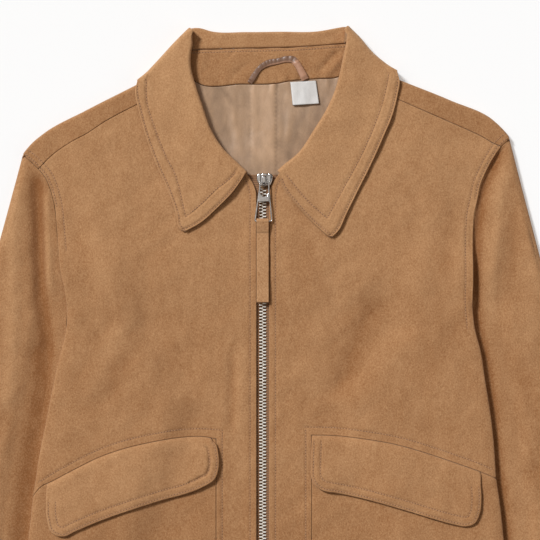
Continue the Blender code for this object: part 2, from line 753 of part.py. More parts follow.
def build_lining(satin, collection):
    """The lining where the neck opening shows it, tucked under the fronts and collar. Its
    centre-back pleat stands up as a flat band."""

    def height(x, y):
        pleat = np.clip((PLEAT + PLEAT_STEP - np.abs(x)) / PLEAT_STEP, 0, 1)
        pleat = pleat * ease((y - PLEAT_END_Y) / PLEAT_FADE)
        return lift(x, y) + WALL + LAYER_GAP + TRIM_WALL / 2 + PLEAT_RISE * pleat

    outline = NECK_SEAM[1:-1] + LINING_EDGE[::-1]
    cuts = [sign * edge for sign in (-1, 1) for edge in (PLEAT, PLEAT + PLEAT_STEP)]
    return cloth_panel("lining_back", outline, height, satin, collection, TRIM_WALL, cuts=cuts)


def ribbon(path, width, height):
    """A flat tape along a path of (x, y) rows, at a height above the surface."""
    path = resample(path, LOOP_POINTS)
    along = np.gradient(path, axis=0)
    side = np.stack([-along[:, 1], along[:, 0]], axis=1) / np.hypot(*along.T)[:, None]
    edges = np.stack([path - side * width / 2, path + side * width / 2], axis=1)
    return np.concatenate([edges, np.full((len(path), 2, 1), height)], axis=2)


def build_neck_trims(satin, white, collection):
    """The hanger loop lies on the stand, and the label lies on the lining."""
    height = BAND_HEIGHT + WALL / 2 + LOOP_CLEAR + TRIM_WALL / 2
    bm = grid_mesh(ribbon(HANGER_LOOP, LOOP_WIDTH, height))
    bmesh.ops.recalc_face_normals(bm, faces=bm.faces[:])
    mesh = mesh_from_bmesh("hanger_loop", bm)
    thicken(add_object("hanger_loop", mesh, satin, collection), TRIM_WALL)
    above = COLLAR_LIFT + WALL + LAYER_GAP + TRIM_WALL + SEAM_GAP + TRIM_WALL / 2
    top, end = LABEL_CORNERS[:2], LABEL_CORNERS[:1:-1]
    strip("size_label", end, top, above, above, 2, white, collection, TRIM_WALL, rows=2)


# ---------------------------------------------------------------- zip


def box_mesh(name, low, high):
    low, high = np.array(low), np.array(high)
    bm = bmesh.new()
    bmesh.ops.create_cube(bm, size=1)
    bmesh.ops.scale(bm, vec=high - low, verts=bm.verts)
    bmesh.ops.translate(bm, vec=(low + high) / 2, verts=bm.verts)
    return mesh_from_bmesh(name, bm)


def flat_mesh(name, outlines, thickness):
    """A flat plate from closed outlines, the inner ones being holes, as a mesh."""
    curve = bpy.data.curves.new(name, "CURVE")
    curve.dimensions = "2D"
    curve.fill_mode = "BOTH"
    curve.extrude = thickness / 2 * MM
    for outline in outlines:
        spline = curve.splines.new("POLY")
        spline.points.add(len(outline) - 1)
        for point, (x, y) in zip(spline.points, outline):
            point.co = (x * MM, y * MM, 0, 1)
        spline.use_cyclic_u = True
    holder = bpy.data.objects.new(name, curve)
    bpy.context.scene.collection.objects.link(holder)
    graph = bpy.context.evaluated_depsgraph_get()
    mesh = bpy.data.meshes.new_from_object(holder.evaluated_get(graph))
    bpy.data.objects.remove(holder)
    bm = bmesh.new()
    bm.from_mesh(mesh)
    bmesh.ops.remove_doubles(bm, verts=bm.verts, dist=1e-6)
    bm.to_mesh(mesh)
    bm.free()
    return mesh


def shift(mesh, move):
    mesh.transform(Matrix.Translation([value * MM for value in move]))


def standing_mesh(name, outlines, width, middle):
    """A plate whose outlines are (y, z), as wide as given about the middle in x."""
    mesh = flat_mesh(name, outlines, width)
    mesh.transform(Matrix(((0, 0, 1, middle * MM), (1, 0, 0, 0), (0, 1, 0, 0), (0, 0, 0, 1))))
    return mesh


def circle(x, y, radius, count):
    return [
        (x + radius * math.cos(a), y + radius * math.sin(a))
        for a in np.arange(count) * 2 * math.pi / count
    ]


CHAIN_THICK = 3.0
CHAIN_LOW = WALL + 2 * LAYER_GAP
STOP_LENGTH = 6.1
STOP_THICK = 3.6


def build_zip(tape, steel, collection):
    """The two tapes, the closed chain between them, and the box that ends the chain."""
    base = WALL + LAYER_GAP + TRIM_WALL + LAYER_GAP
    half = CHAIN_WIDTH / 2
    for side in SIDES:
        start = ZIP_X + side.sign * (half + LAYER_GAP)
        end = start + side.sign * TAPE_WIDTH
        cloth_panel(
            f"zip_tape_{side.name}",
            [(start, ZIP_TOP_Y), (end, ZIP_TOP_Y), (end, TAPE_END_Y), (start, TAPE_END_Y)],
            lambda x, y: lift(x, y) + base + TRIM_WALL / 2,
            tape, collection, wall=TRIM_WALL,
        )
    left, right = ZIP_X - half, ZIP_X + half
    cloth_panel(
        "zip_chain",
        [(left, CHAIN_TOP_Y), (right, CHAIN_TOP_Y), (right, CHAIN_END_Y), (left, CHAIN_END_Y)],
        lambda x, y: lift(x, y) + CHAIN_LOW + CHAIN_THICK / 2,
        steel, collection, wall=CHAIN_THICK,
    )
    stop_top_y = CHAIN_END_Y - SEAM_GAP
    stop_low = (left, stop_top_y - STOP_LENGTH, CHAIN_LOW)
    stop_high = (right, stop_top_y, CHAIN_LOW + STOP_THICK)
    add_object("zip_bottom_stop", box_mesh("zip_bottom_stop", stop_low, stop_high), steel,
               collection)


def join(obj, mesh, helpers):
    """Joins a helper's shape to the object with a Boolean union."""
    helper = bpy.data.objects.new(mesh.name, mesh)
    helpers.objects.link(helper)
    helper.parent = obj
    helper.hide_render = True
    helper.display_type = "WIRE"
    union = obj.modifiers.new(mesh.name, "BOOLEAN")
    union.operation = "UNION"
    union.object = helper


# Outlines measured from the hinge: the slider's plate as (x, y), its bridge as (y, z up
# from the plate), and the pull's frame and two windows as (x, y).
SHIELD = ((-7.1, 7.0), (-5.1, 8.4), (6.1, 8.4), (8.1, 7.0), (7.9, 2.2), (5.3, -3.0),
          (-4.3, -3.0), (-6.9, 2.2))
BRIDGE = ((7.0, -0.6), (7.0, 1.6), (5.6, 3.4), (-0.6, 3.6), (-2.0, 2.6), (-2.5, -0.6),
          (-1.3, -0.6), (-1.2, 1.9), (-0.3, 2.4), (4.9, 2.3), (5.7, 1.2), (5.8, -0.6))
PULL_FRAME = ((-4.9, 0.75), (4.9, 0.75), (5.0, -4.2), (7.7, -34.9), (6.9, -36.65),
              (-8.5, -36.65), (-9.3, -34.9), (-4.9, -5.0))
PULL_UPPER = ((-3.9, -9.6), (-2.3, -12.2), (0, -13.2), (2.3, -12.2), (3.7, -9.6), (3.5, -0.75),
              (-3.5, -0.75))
PULL_LOWER = ((-7.9, -35.15), (6.3, -35.15), (4.8, -18.0), (-5.5, -18.0))
POST_Y = (-2.6, 6.0)
POST_LOW = COLLAR_LIFT + WALL + LAYER_GAP + TRIM_WALL + SEAM_GAP


def build_slider(steel, collection, helpers):
    """The slider: a shield-shaped plate on a post, with a bridge over the pull's bar."""
    x, y, _ = HINGE
    mesh = flat_mesh("zip_slider", [[(x + a, y + b) for a, b in SHIELD]], PLATE_THICK)
    shift(mesh, (0, 0, PLATE_LOW + PLATE_THICK / 2))
    slider = add_object("zip_slider", mesh, steel, collection)
    half = CHAIN_WIDTH / 2
    post_low = (ZIP_X - half, y + POST_Y[0], POST_LOW)
    post_high = (ZIP_X + half, y + POST_Y[1], PLATE_LOW + PLATE_THICK / 2)
    join(slider, box_mesh("slider_post", post_low, post_high), helpers)
    arch = [(y + b, PLATE_LOW + PLATE_THICK + c) for b, c in BRIDGE]
    bridge = standing_mesh("slider_bridge", [arch], BRIDGE_WIDTH, x)
    join(slider, bridge, helpers)
    return slider


def build_pull(steel, suede, collection):
    """The openwork pull hangs on its top bar, and the strap is looped round its low bar."""
    axis = bpy.data.objects.new("zip_pull_axis", None)
    axis.location = [value * MM for value in HINGE]
    collection.objects.link(axis)
    mesh = flat_mesh("zip_pull", [PULL_FRAME, PULL_UPPER, PULL_LOWER], BAR)
    pull = add_object("zip_pull", mesh, steel, collection)
    pull.parent = axis

    end = -PULL_LENGTH
    hole_radius = BAR / 2 * math.sqrt(2) + LAYER_GAP
    loop = hole_radius + STRAP_THICK / 2
    tail = STRAP_END_Y - HINGE[1]
    low = -loop
    turn = [
        (end + loop * math.cos(a), loop * math.sin(a))
        for a in np.radians(np.arange(-90, 136, 22.5))
    ]
    top = low + STRAP_THICK
    outline = turn + [(end - STRAP_JOIN, top), (tail, top), (tail, low)]
    hole = circle(end, 0, hole_radius, 12)
    middle = (STRAP_X[0] + STRAP_X[1]) / 2 - HINGE[0]
    mesh = standing_mesh("zip_pull_strap", [outline, hole], STRAP_X[1] - STRAP_X[0], middle)
    strap = add_object("zip_pull_strap", mesh, suede, collection)
    strap.parent = axis
    return axis


def put_on_origin(collection):
    """Moves the whole jacket so that the origin is below the middle of its outline."""
    root = bpy.data.objects.new("jacket_origin", None)
    collection.objects.link(root)
    graph = bpy.context.evaluated_depsgraph_get()
    corners = []
    for obj in collection.objects:
        if obj.type == "MESH":
            world = obj.evaluated_get(graph)
            corners += [world.matrix_world @ vert.co for vert in world.data.vertices]
    low, high = np.min(corners, axis=0), np.max(corners, axis=0)
    for obj in list(collection.objects):
        if obj is not root and obj.parent is None:
            obj.parent = root
    root.location = (-(low[0] + high[0]) / 2, -(low[1] + high[1]) / 2, -low[2])


def main():
    clear_scene()
    jacket = make_collection("suede_jacket")
    helpers = make_collection("joined_shapes", hidden=True)
    suede = make_material("suede_cloth", (0.42, 0.22, 0.10), 0.95)
    satin = make_material("lining_satin", (0.46, 0.31, 0.19), 0.45)
    white = make_material("label_satin", (0.80, 0.78, 0.75), 0.5)
    tape = make_material("zip_tape", (0.34, 0.19, 0.10), 0.9)
    steel = make_material("zip_metal", (0.62, 0.61, 0.60), 0.25, 1.0)
    build_back(suede, jacket)
    build_fronts(suede, jacket)
    for side in SIDES:
        build_sleeve(side, suede, jacket)
    build_collar_stand(suede, jacket)
    build_collar_fall(suede, jacket)
    build_lining(satin, jacket)
    build_neck_trims(satin, white, jacket)
    build_zip(tape, steel, jacket)
    build_slider(steel, jacket, helpers)
    build_pull(steel, suede, jacket)
    put_on_origin(jacket)


main()
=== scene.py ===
"""A tan suede zip jacket laid flat, face up: its cloth, stitching, lining and zip.

Every shape is worked out in millimetres, with Y measured up from the centre of the back neck
seam and Z up from the surface, and make_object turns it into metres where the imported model
lies. "Right" and "left" are the wearer's, and a side's tables count "out" from the centre line.
"""
import math
from collections import namedtuple

import bmesh
import bpy
import numpy as np
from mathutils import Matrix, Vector
from mathutils.geometry import delaunay_2d_cdt


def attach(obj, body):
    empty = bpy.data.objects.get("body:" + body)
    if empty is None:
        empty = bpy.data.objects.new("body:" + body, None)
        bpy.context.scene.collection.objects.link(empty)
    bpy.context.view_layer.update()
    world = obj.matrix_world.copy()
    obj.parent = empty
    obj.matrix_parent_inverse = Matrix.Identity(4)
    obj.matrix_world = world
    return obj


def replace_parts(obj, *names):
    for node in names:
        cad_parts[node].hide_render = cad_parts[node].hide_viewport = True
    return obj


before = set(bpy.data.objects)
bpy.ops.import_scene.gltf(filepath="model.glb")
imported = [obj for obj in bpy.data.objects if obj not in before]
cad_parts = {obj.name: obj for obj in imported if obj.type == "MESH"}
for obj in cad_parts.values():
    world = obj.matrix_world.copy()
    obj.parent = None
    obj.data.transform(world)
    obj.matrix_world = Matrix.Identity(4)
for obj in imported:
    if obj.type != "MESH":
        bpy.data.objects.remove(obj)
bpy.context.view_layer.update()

MM = 0.001
BACK_NECK_Y = 330.9
UP = np.array((0.0, 0.0, 1.0))

# Cloth walls and the layers of the laid garment, as in the solids.
WALL = 2.0
TRIM_WALL = 1.0
SEAM_GAP = 0.12
LAYER_GAP = 0.3
LOFT = 3.4
EDGE_LOFT = 0.8
EDGE_ROLL = 9.0
TURN_RADIUS = (WALL + LOFT) / 2
SHOULDER_INSET = TURN_RADIUS + WALL / 2 + 0.2

HEM_Y = -672.0
PANEL_SEAM_OUT = 44.5
PANEL_SEAM = tuple((PANEL_SEAM_OUT, y) for y in (-450, -560, HEM_Y))
ZIP_X = -1.1
ZIP_SLOT = 11.6
ZIP_TOP_Y = -86.0

SLEEVE_TOP = 2 * WALL + LOFT
SLEEVE_TUCKED_TOP = 5.4
SLEEVE_REACH = 625.0
CUFF_OUTER = (385.0, -686.0)
CUFF_WIDTH = 110.0
SLEEVE_ANGLE = math.radians(14.4)
CUFF_INNER = (CUFF_OUTER[0] - CUFF_WIDTH * math.cos(SLEEVE_ANGLE),
              CUFF_OUTER[1] - CUFF_WIDTH * math.sin(SLEEVE_ANGLE))
UNDERARM = ((160.0, -262.0), (136.0, -296.0))

TUCK_LIFT = 5.8
TUCK_FADE = 38.0
TUCK_MARGIN = 44.0
TUCK_START_Y = -140.0
COLLAR_LIFT = 2.4
COLLAR_LIFT_END = (200.0, -225.0)
COLLAR_FADE = 48.0

ROLL_RADIUS = 2.2
CORNER_RADIUS = 0.6
FALL_LOW = WALL / 2
BAND_HEIGHT = FALL_LOW + 2 * ROLL_RADIUS
LEAF_REST = COLLAR_LIFT + 2 * WALL + LOFT + 2.0 + WALL / 2
LEAF_ROLL_HEIGHT = 15.6
LEAF_ROLL_LENGTH = 165.0
LEAF_DEPTH = 70.0

Side = namedtuple("Side", "name sign shoulder seam armhole edge neckline pocket_seam flap leaf")
Leaf = namedtuple("Leaf", "roll lower outer fold")

# Each row is (out, y). "shoulder" and "seam" are the folded shoulder and the seam that
# lies forward of it; "edge" is the side of the body from the armhole to the hem.
RIGHT = Side(
    name="right",
    sign=-1,
    shoulder=((74, 21.5), (119, -2.2), (165, -25.5), (205, -47), (217, -57), (225, -66.5)),
    seam=((74, 1), (119, -21.4), (149, -37.5), (165, -48), (181, -56.6), (193, -64.6),
          (204, -74.3), (210, -81)),
    armhole=((225, -68), (216, -75), (210, -81), (204, -88), (200, -97), (195, -116),
             (193, -137), (191, -157), (189, -175), (185, -193), (183, -211), (184, -230)),
    edge=((189, -252), (193, -268), (197, -287), (201, -308), (209, -348), (214.5, -385),
          (219, -426), (223, -540), (225, HEM_Y)),
    neckline=((74, 1), (72.5, -8), (65, -28), (57, -47), (45, -65), (30, -79), (16, -85)),
    pocket_seam=((214.5, -385), (208.7, -377.6), (194.4, -369.8), (174.8, -359.4),
                 (155, -349.6), (135.6, -342.4), (116, -337.2), (96.4, -333.2),
                 (76.8, -330.6), (56, -330), (PANEL_SEAM_OUT, -332)),
    flap=((48.5, -332), (44.4, -336.6), (42.2, -345), (41.7, -357.4), (45.6, -369.2),
          (57.3, -376.9), (70.3, -382.2), (96.4, -389.4), (116, -395.3),
          (135.6, -401.8), (155, -408.9), (174.8, -417.4),
          (185.2, -422), (191.7, -421.3), (196.9, -418), (201.4, -405.5), (202.1, -387.4)),
    leaf=Leaf(
        roll=((15.3, -83.5), (24.7, -74.7), (38.4, -61), (49.4, -43.3), (56.2, -24.2),
              (61.7, -7.8), (67.8, 16), (67.8, 23.5), (66.4, 37), (69.3, 51.2)),
        lower=((15.3, -84.3), (30.2, -104.7), (43.9, -118.3), (57.7, -130.6), (75.2, -140.2)),
        outer=((75.2, -140.2), (79.3, -134.7), (81.4, -123.8), (88.9, -101.9), (98.6, -80.2),
               (106.7, -59.7), (113.5, -37.9), (116.9, -24.2), (119.6, -10.5), (119.6, -4.5),
               (117.6, 0.6)),
        fold=((69.3, 51.2), (82.1, 38.6), (98.6, 20.8), (110, 8.6), (117.6, 0.6)),
    ),
)

LEFT = Side(
    name="left",
    sign=1,
    shoulder=((82, 20), (125.7, 2.6), (174, -16.6), (212, -33.5), (222, -42.5), (229, -50.5)),
    seam=((82, 1), (125.7, -16.7), (142, -23.8), (166, -34.2), (190, -44.6), (202, -50.1),
          (214, -57), (221, -60)),
    armhole=((229, -53), (221, -60), (214, -70), (207, -83), (202, -95), (199, -109),
             (196, -123), (195, -136), (194.5, -154), (194.5, -184), (194, -207), (196, -228)),
    edge=((202, -252), (206, -279), (210, -303), (213, -327), (216, -368.5), (220, -396),
          (223, -426), (227, -540), (230, HEM_Y)),
    neckline=((82, 1), (76.3, -9.3), (67.9, -28.8), (56.7, -47.4), (40.9, -68.8), (24, -80),
              (14, -85)),
    pocket_seam=((216, -368.5), (200.3, -362), (180.8, -355), (161.2, -348.3), (141.6, -342),
                 (122, -336.8), (102.5, -333.2), (82.8, -330.6), (63.2, -328.9),
                 (PANEL_SEAM_OUT, -328.5)),
    flap=((43.7, -353.4), (44.4, -369.2), (47.7, -375), (54.2, -379.6), (67.2, -382.2),
          (82.8, -385.5), (102.5, -390), (122, -395.3), (141.6, -401.1), (161.2, -407),
          (178.2, -411.5), (187.3, -412.8), (195.1, -410.2), (200.3, -400.5), (201.8, -387.4),
          (201.3, -373)),
    leaf=Leaf(
        roll=((12.1, -82.8), (14.9, -80), (32.6, -65), (46.2, -44.6), (57.1, -27), (65.3, -9.2),
              (69.4, 4.5), (73.5, 23.5), (76.3, 37), (78.1, 53)),
        lower=((12.1, -84), (18.9, -100.6), (28.5, -112.9), (43.4, -129.3), (61.8, -145.6)),
        outer=((61.8, -145.6), (67.9, -140.2), (77.6, -121.1), (87.1, -101.9), (98, -80.2),
               (111.6, -50.1), (119.9, -29.7), (124.6, -10.5), (126.2, -1), (126, 4.5),
               (123.8, 9.4)),
        fold=((78.1, 53), (89.8, 41.3), (100.8, 28.4), (114.4, 16.9), (123.8, 9.4)),
    ),
)
SIDES = (RIGHT, LEFT)

# The back neck, from the wearer's right to the left, as (x, y).
NECK_SEAM = ((-74, 10), (-69, 4), (-61, -1.3), (-20, -2), (10, -1.5), (25, 1), (48, 3),
             (69, 4.7), (77, 8), (82, 13))
STAND_TOP = ((-72, 30), (-16, 31.7), (26, 32.7), (79, 36.3))
COLLAR_TOP = ((-69.3, 51.2), (-59.5, 50.9), (-50, 48.1), (-16, 47.2), (15, 47.5), (52, 48.1),
              (67, 50.9), (78.1, 53))
FALL_HIDDEN_EDGE = ((-117.6, 0.6), (-100, -9), (-60, -16), (0, -19), (60, -15), (105, -2),
                    (123.8, 9.4))

HANGER_LOOP = ((-13.3, -0.8), (-8.5, 7), (-3, 13.8), (3, 17.4), (13, 19.6), (21, 21.4),
               (26.6, 21), (31, 16.5), (35, 9.6), (38.6, 2.2))
LOOP_WIDTH = 6.5
LABEL_CORNERS = np.array(((24.4, 0.2), (48.6, 1.6), (51.6, -20.2), (26.7, -21.8)))

# ---------------------------------------------------------------- lines and cloth


def join(*parts, axis=0):
    return np.concatenate(parts, axis)


def points_of(*columns):
    """Points from their coordinates, each a number or an array."""
    return np.stack(np.broadcast_arrays(*columns), axis=-1)


def raised(flat, z):
    """The points of a flat layout, each at its height."""
    return join(flat, np.broadcast_to(z, flat.shape[:-1])[..., None], axis=-1)


def unit(vectors):
    return vectors / np.maximum(np.linalg.norm(vectors, axis=-1, keepdims=True), 1e-9)


def ease(t):
    """A soft step from 0 to 1."""
    t = np.clip(t, 0, 1)
    return t * t * (3 - 2 * t)


def bell(away, width):
    return np.exp(-((away / width) ** 2))


def ways(line):
    """The way along a line up to each of its points."""
    return np.r_[0, np.cumsum(np.linalg.norm(np.diff(line, axis=0), axis=1))]


def curve(rows, step=2.0, at=None):
    """A smooth line through rows: a cubic in each span, whose end slopes come from both of
    its neighbours, at nearly even steps or at the given shares of its length."""
    p = np.asarray(rows, float)
    s = ways(p)
    slope = np.gradient(p, s, axis=0)
    at = np.linspace(0, 1, max(2, round(s[-1] / step) + 1)) if at is None else np.asarray(at)
    at = at * s[-1]
    k = np.clip(np.searchsorted(s, at, side="right") - 1, 0, len(s) - 2)
    h = (s[k + 1] - s[k])[:, None]
    t = (at - s[k])[:, None] / h
    return (
        p[k] * (1 + 2 * t) * (1 - t) ** 2
        + slope[k] * h * t * (1 - t) ** 2
        + p[k + 1] * t**2 * (3 - 2 * t)
        + slope[k + 1] * h * t**2 * (t - 1)
    )


def join_lines(*lines):
    """One closed outline from lines that end where the next one starts, corners kept."""
    return join(*(line[:-1] for line in lines))


def unit_left(line):
    along = np.gradient(line, axis=0)
    return np.stack([-along[:, 1], along[:, 0]], axis=1) / np.hypot(*along.T)[:, None]


def beside(line, *offsets):
    """Copies of a line moved to its left by each offset, one after another."""
    left = unit_left(line)
    return join(*(line + left * offset for offset in offsets))


def nearest(points, line):
    """For each point, its distance from a line and the way along the line to the foot."""
    a, ab = line[:-1], np.diff(line, axis=0)
    size = np.maximum((ab**2).sum(axis=1), 1e-9)
    best, along = [], []
    for some in np.array_split(points, max(1, len(points) * len(ab) // 2_000_000)):
        off = some[:, None] - a
        t = np.clip((off * ab).sum(axis=2) / size, 0, 1)
        gap = np.linalg.norm(off - t[..., None] * ab, axis=2)
        k = gap.argmin(axis=1)
        n = np.arange(len(some))
        best.append(gap[n, k])
        along.append(ways(line)[k] + t[n, k] * np.sqrt(size[k]))
    return np.concatenate(best), np.concatenate(along)


def inside(points, ring):
    """Which points a closed outline holds: a ray from such a point crosses it an odd number
    of times."""
    a, b = ring, np.roll(ring, -1, axis=0)
    y = points[:, 1:2]
    crosses = (a[:, 1] > y) != (b[:, 1] > y)
    x = a[:, 0] + (y - a[:, 1]) / (b[:, 1] - a[:, 1] + 1e-12) * (b[:, 0] - a[:, 0])
    return (crosses & (points[:, :1] < x)).sum(axis=1) % 2 == 1


def area_of(ring):
    ahead = np.roll(ring, -1, axis=0)
    return (ring[:, 0] * ahead[:, 1] - ring[:, 1] * ahead[:, 0]).sum() / 2


def cut_size(outline):
    """The flat size and the area of a piece, in metres."""
    size = (outline.max(axis=0) - outline.min(axis=0)) * MM
    return tuple(map(float, size)), abs(area_of(outline)) * MM * MM


def clear_of(points, taken, gap):
    """The points whose square of a grid of that size, and the eight round it, hold none
    that is taken."""
    both = join(points, taken)
    low, high = both.min(axis=0) - 2 * gap, both.max(axis=0) + 2 * gap
    cells = lambda p: tuple(((p - low) / gap).astype(int).T)
    used = np.zeros(((high - low) / gap).astype(int) + 2, bool)
    used[cells(taken)] = True
    for axis in (0, 1):
        used = used | np.roll(used, 1, axis) | np.roll(used, -1, axis)
    return points[~used[cells(points)]]


EDGE_ROWS = np.array((0.3, 0.8, 1.6, 2.8))
STITCH_ROWS = (0, 0.7, -0.7, 1.7, -1.7, 3.0, -3.0)
CLOTH_CELL = 4.5
FINE_CELL = 1.5
FINE_SHARE = 0.35


def cut_flat(outline, stitches=(), cell=CLOTH_CELL, holes=(), guides=()):
    """Cuts a piece into triangles: rows along its edges, beside its stitching and on its
    guides, and an even triangular grid between them. Gives the points, the triangles and
    how far each point is from the edge."""
    rings = [outline[:: 1 if area_of(outline) > 0 else -1]]
    rings += [hole[:: 1 if area_of(hole) < 0 else -1] for hole in holes]
    edges = [join(ring, ring[:1]) for ring in rings]
    scale = 1.0 if cell > FINE_CELL else FINE_SHARE
    held = lambda points: sum(inside(points, ring) for ring in rings) % 2 == 1
    to_edge = lambda points: np.min([nearest(points, edge)[0] for edge in edges], axis=0)
    low, high = outline.min(axis=0), outline.max(axis=0)
    x, y = np.meshgrid(np.arange(low[0], high[0], cell), np.arange(low[1], high[1], cell * 0.866))
    x = x + (np.arange(len(x)) % 2)[:, None] * cell / 2
    grid = points_of(x, y).reshape(-1, 2)
    near = []
    for inset in EDGE_ROWS * scale:
        row = join(*(beside(edge, inset) for edge in edges))
        near.append(row[to_edge(row) > 0.85 * inset])
    near = join(*near, *(beside(line, *STITCH_ROWS) for line in stitches), *guides)
    near = near[held(near)]
    near = near[to_edge(near) > 0.25 * scale]
    squares = np.round(near / (0.45 * scale)).astype(int)
    near = near[np.unique(squares, axis=0, return_index=True)[1]]
    grid = clear_of(grid[held(grid)], join(near, *rings), FINE_CELL * scale)
    starts = np.cumsum([0] + [len(ring) for ring in rings])
    ends = [points_of(index, np.roll(index, -1)) for index in map(np.arange, starts, starts[1:])]
    points, _, faces, *_ = delaunay_2d_cdt(
        join(*rings, near, grid).tolist(), join(*ends).tolist(), [], 1, 1e-5
    )
    points, faces = np.array(points)[:, :2], np.array(faces)
    faces = faces[held(points[faces].mean(axis=1))]
    a, b, c = (points[faces[:, k]] for k in range(3))
    turn = (b - a)[:, 0] * (c - a)[:, 1] - (b - a)[:, 1] * (c - a)[:, 0]
    return points, np.where(turn[:, None] < 0, faces[:, ::-1], faces), to_edge(points)


def make_object(points, faces, **shades):
    """A smooth mesh object from points in millimetres, with its named shades stored at its
    points for the finish to read."""
    mesh = bpy.data.meshes.new("piece")
    mesh.from_pydata(((points + (0, BACK_NECK_Y, 0)) * MM).tolist(), [], faces.tolist())
    for shade, values in shades.items():
        stored = mesh.attributes.new(shade, "FLOAT", "POINT")
        stored.data.foreach_set("value", np.ascontiguousarray(values, np.float32))
    mesh.validate()
    mesh.shade_smooth()
    return linked("piece", mesh)


def linked(name, data):
    obj = bpy.data.objects.new(name, data)
    bpy.context.scene.collection.objects.link(obj)
    return obj


def wall_share(edge, roll):
    """The share of its thickness that a piece has near its edge: a quarter circle's rise."""
    return np.sqrt(np.maximum(1 - (1 - np.clip(edge / roll, 0, 1)) ** 2, 0))


def shell(middle, normal, faces, edge, wall, roll=1.3, relief=0.0, under=0.0):
    """Thickens a sheet into one closed shell: both faces stand half a wall off its middle
    and meet in a round edge. Relief raises the upper face and under the lower one."""
    half = (wall / 2 * wall_share(edge, roll))[:, None]
    fade = ease(edge / 1.2)[:, None]
    top = middle + normal * (half + np.reshape(relief, (-1, 1)) * fade)
    bottom = middle - normal * (half + np.reshape(under, (-1, 1)) * fade)
    rim = edge < 1e-3
    lower = np.where(rim, np.arange(len(edge)), len(edge) + np.cumsum(~rim) - 1)
    points = np.concatenate([top, bottom[~rim]])
    return points, np.concatenate([faces, lower[faces[:, ::-1]]]), ~rim


def waves(x, y, size, seed, count=14):
    """Random soft unevenness: cosine waves of about one length, added in seeded directions."""
    rng = np.random.default_rng(seed)
    angle, phase = rng.uniform(0, 2 * np.pi, (2, count))
    pace = 2 * np.pi / (size * rng.uniform(0.7, 1.5, count))
    run = np.asarray(x)[..., None] * np.cos(angle) + np.asarray(y)[..., None] * np.sin(angle)
    return np.cos(run * pace + phase).sum(axis=-1) * math.sqrt(2 / count)


def folds_at(points, folds, fade=22.0):
    """The sum of listed folds: a bell across each smooth line, with its own width on
    either side, faded at both ends. A row of a fold table is the line's points, the width
    to its left, the width to its right and the depth, which is negative in a trough."""
    flat = points.reshape(-1, 2)
    total = np.zeros(len(flat))
    for rows, left, right, depth in folds:
        line = curve(rows, 6.0)
        gap, along = nearest(flat, line)
        k = np.clip(np.searchsorted(ways(line), along) - 1, 0, len(line) - 2)
        ab = line[k + 1] - line[k]
        off = flat - line[k]
        on_left = ab[:, 0] * off[:, 1] - ab[:, 1] * off[:, 0] > 0
        ends = ease(along / fade + 0.15) * ease((ways(line)[-1] - along) / fade + 0.15)
        total += depth * ends * bell(gap, np.where(on_left, left, right))
    return total.reshape(points.shape[:-1])


VALLEY = 0.32


def sewn(points, lines, depth=VALLEY, width=0.9):
    """The groove that a row of stitches pulls into the cloth, with the cloth proud of it on
    both sides."""
    flat = points.reshape(-1, 2)
    relief = np.zeros(len(flat))
    for line in lines:
        gap, along = nearest(flat, line)
        ends = (along > 0.01) & (along < ways(line)[-1] - 0.01)
        pull = 1 + 0.3 * np.cos(along * 2 * np.pi / 11)
        relief += np.where(ends | (gap < 0.5), -depth * pull * bell(gap, width)
                           + 0.12 * bell(gap - 2.4, 1.2), 0)
    return relief.reshape(points.shape[:-1])


def out_at(rows, y):
    rows = np.asarray(rows, float)[::-1]
    return np.interp(y, rows[:, 1], rows[:, 0])


def mirrored(rows, side):
    return np.array(rows, float) * (side.sign, 1)


def lift(x, y):
    """How far the back's underside is held off the surface, by a sleeve or by the collar."""
    out = np.abs(x)
    inner = np.where(x < 0, *(out_at(side.armhole[5:] + (UNDERARM[-1], CUFF_INNER), y)
                              for side in SIDES))
    tuck = ease((out - inner + TUCK_MARGIN + TUCK_FADE) / TUCK_FADE)
    tuck = tuck * ease((TUCK_START_Y - y) / TUCK_FADE)
    across, down = COLLAR_LIFT_END
    collar = ease((across - out) / COLLAR_FADE) * ease((y - down) / COLLAR_FADE)
    return TUCK_LIFT * tuck + COLLAR_LIFT * collar * (1 - tuck)


def quads_on(rows, columns, closed=False):
    """The faces of a grid whose points are counted row by row. A closed one joins the ends
    of each row."""
    index = np.arange(rows * columns).reshape(rows, columns)
    if closed:
        index = join(index, index[:, :1], axis=1)
    corners = (index[:-1, :-1], index[1:, :-1], index[1:, 1:], index[:-1, 1:])
    return np.stack(corners, axis=2).reshape(-1, 4)


def ring_quads(rows, sides):
    """The faces round a run of rings whose points turn to the left."""
    return quads_on(rows, sides, True)[:, [0, 3, 2, 1]]


def grid_size(grid):
    """The length and width of a grid of points, each at its longest, and its area."""
    steps = [np.linalg.norm(np.diff(grid, axis=axis), axis=2) for axis in (0, 1)]
    size = tuple(float(step.sum(axis=axis).max()) * MM for axis, step in enumerate(steps))
    start = grid[:-1, :-1]
    cell = np.cross(grid[1:, :-1] - start, grid[:-1, 1:] - start)
    return size, float(np.linalg.norm(cell, axis=2).sum()) * MM * MM


def way_in(grid):
    """How far each point of a grid is from the grid's nearest free side."""
    sides = []
    for axis in (0, 1):
        steps = np.linalg.norm(np.diff(grid, axis=axis), axis=2)
        way = np.cumsum(np.insert(steps, 0, 0, axis), axis)
        sides += [way, way.take([-1], axis) - way]
    return np.minimum.reduce(sides)


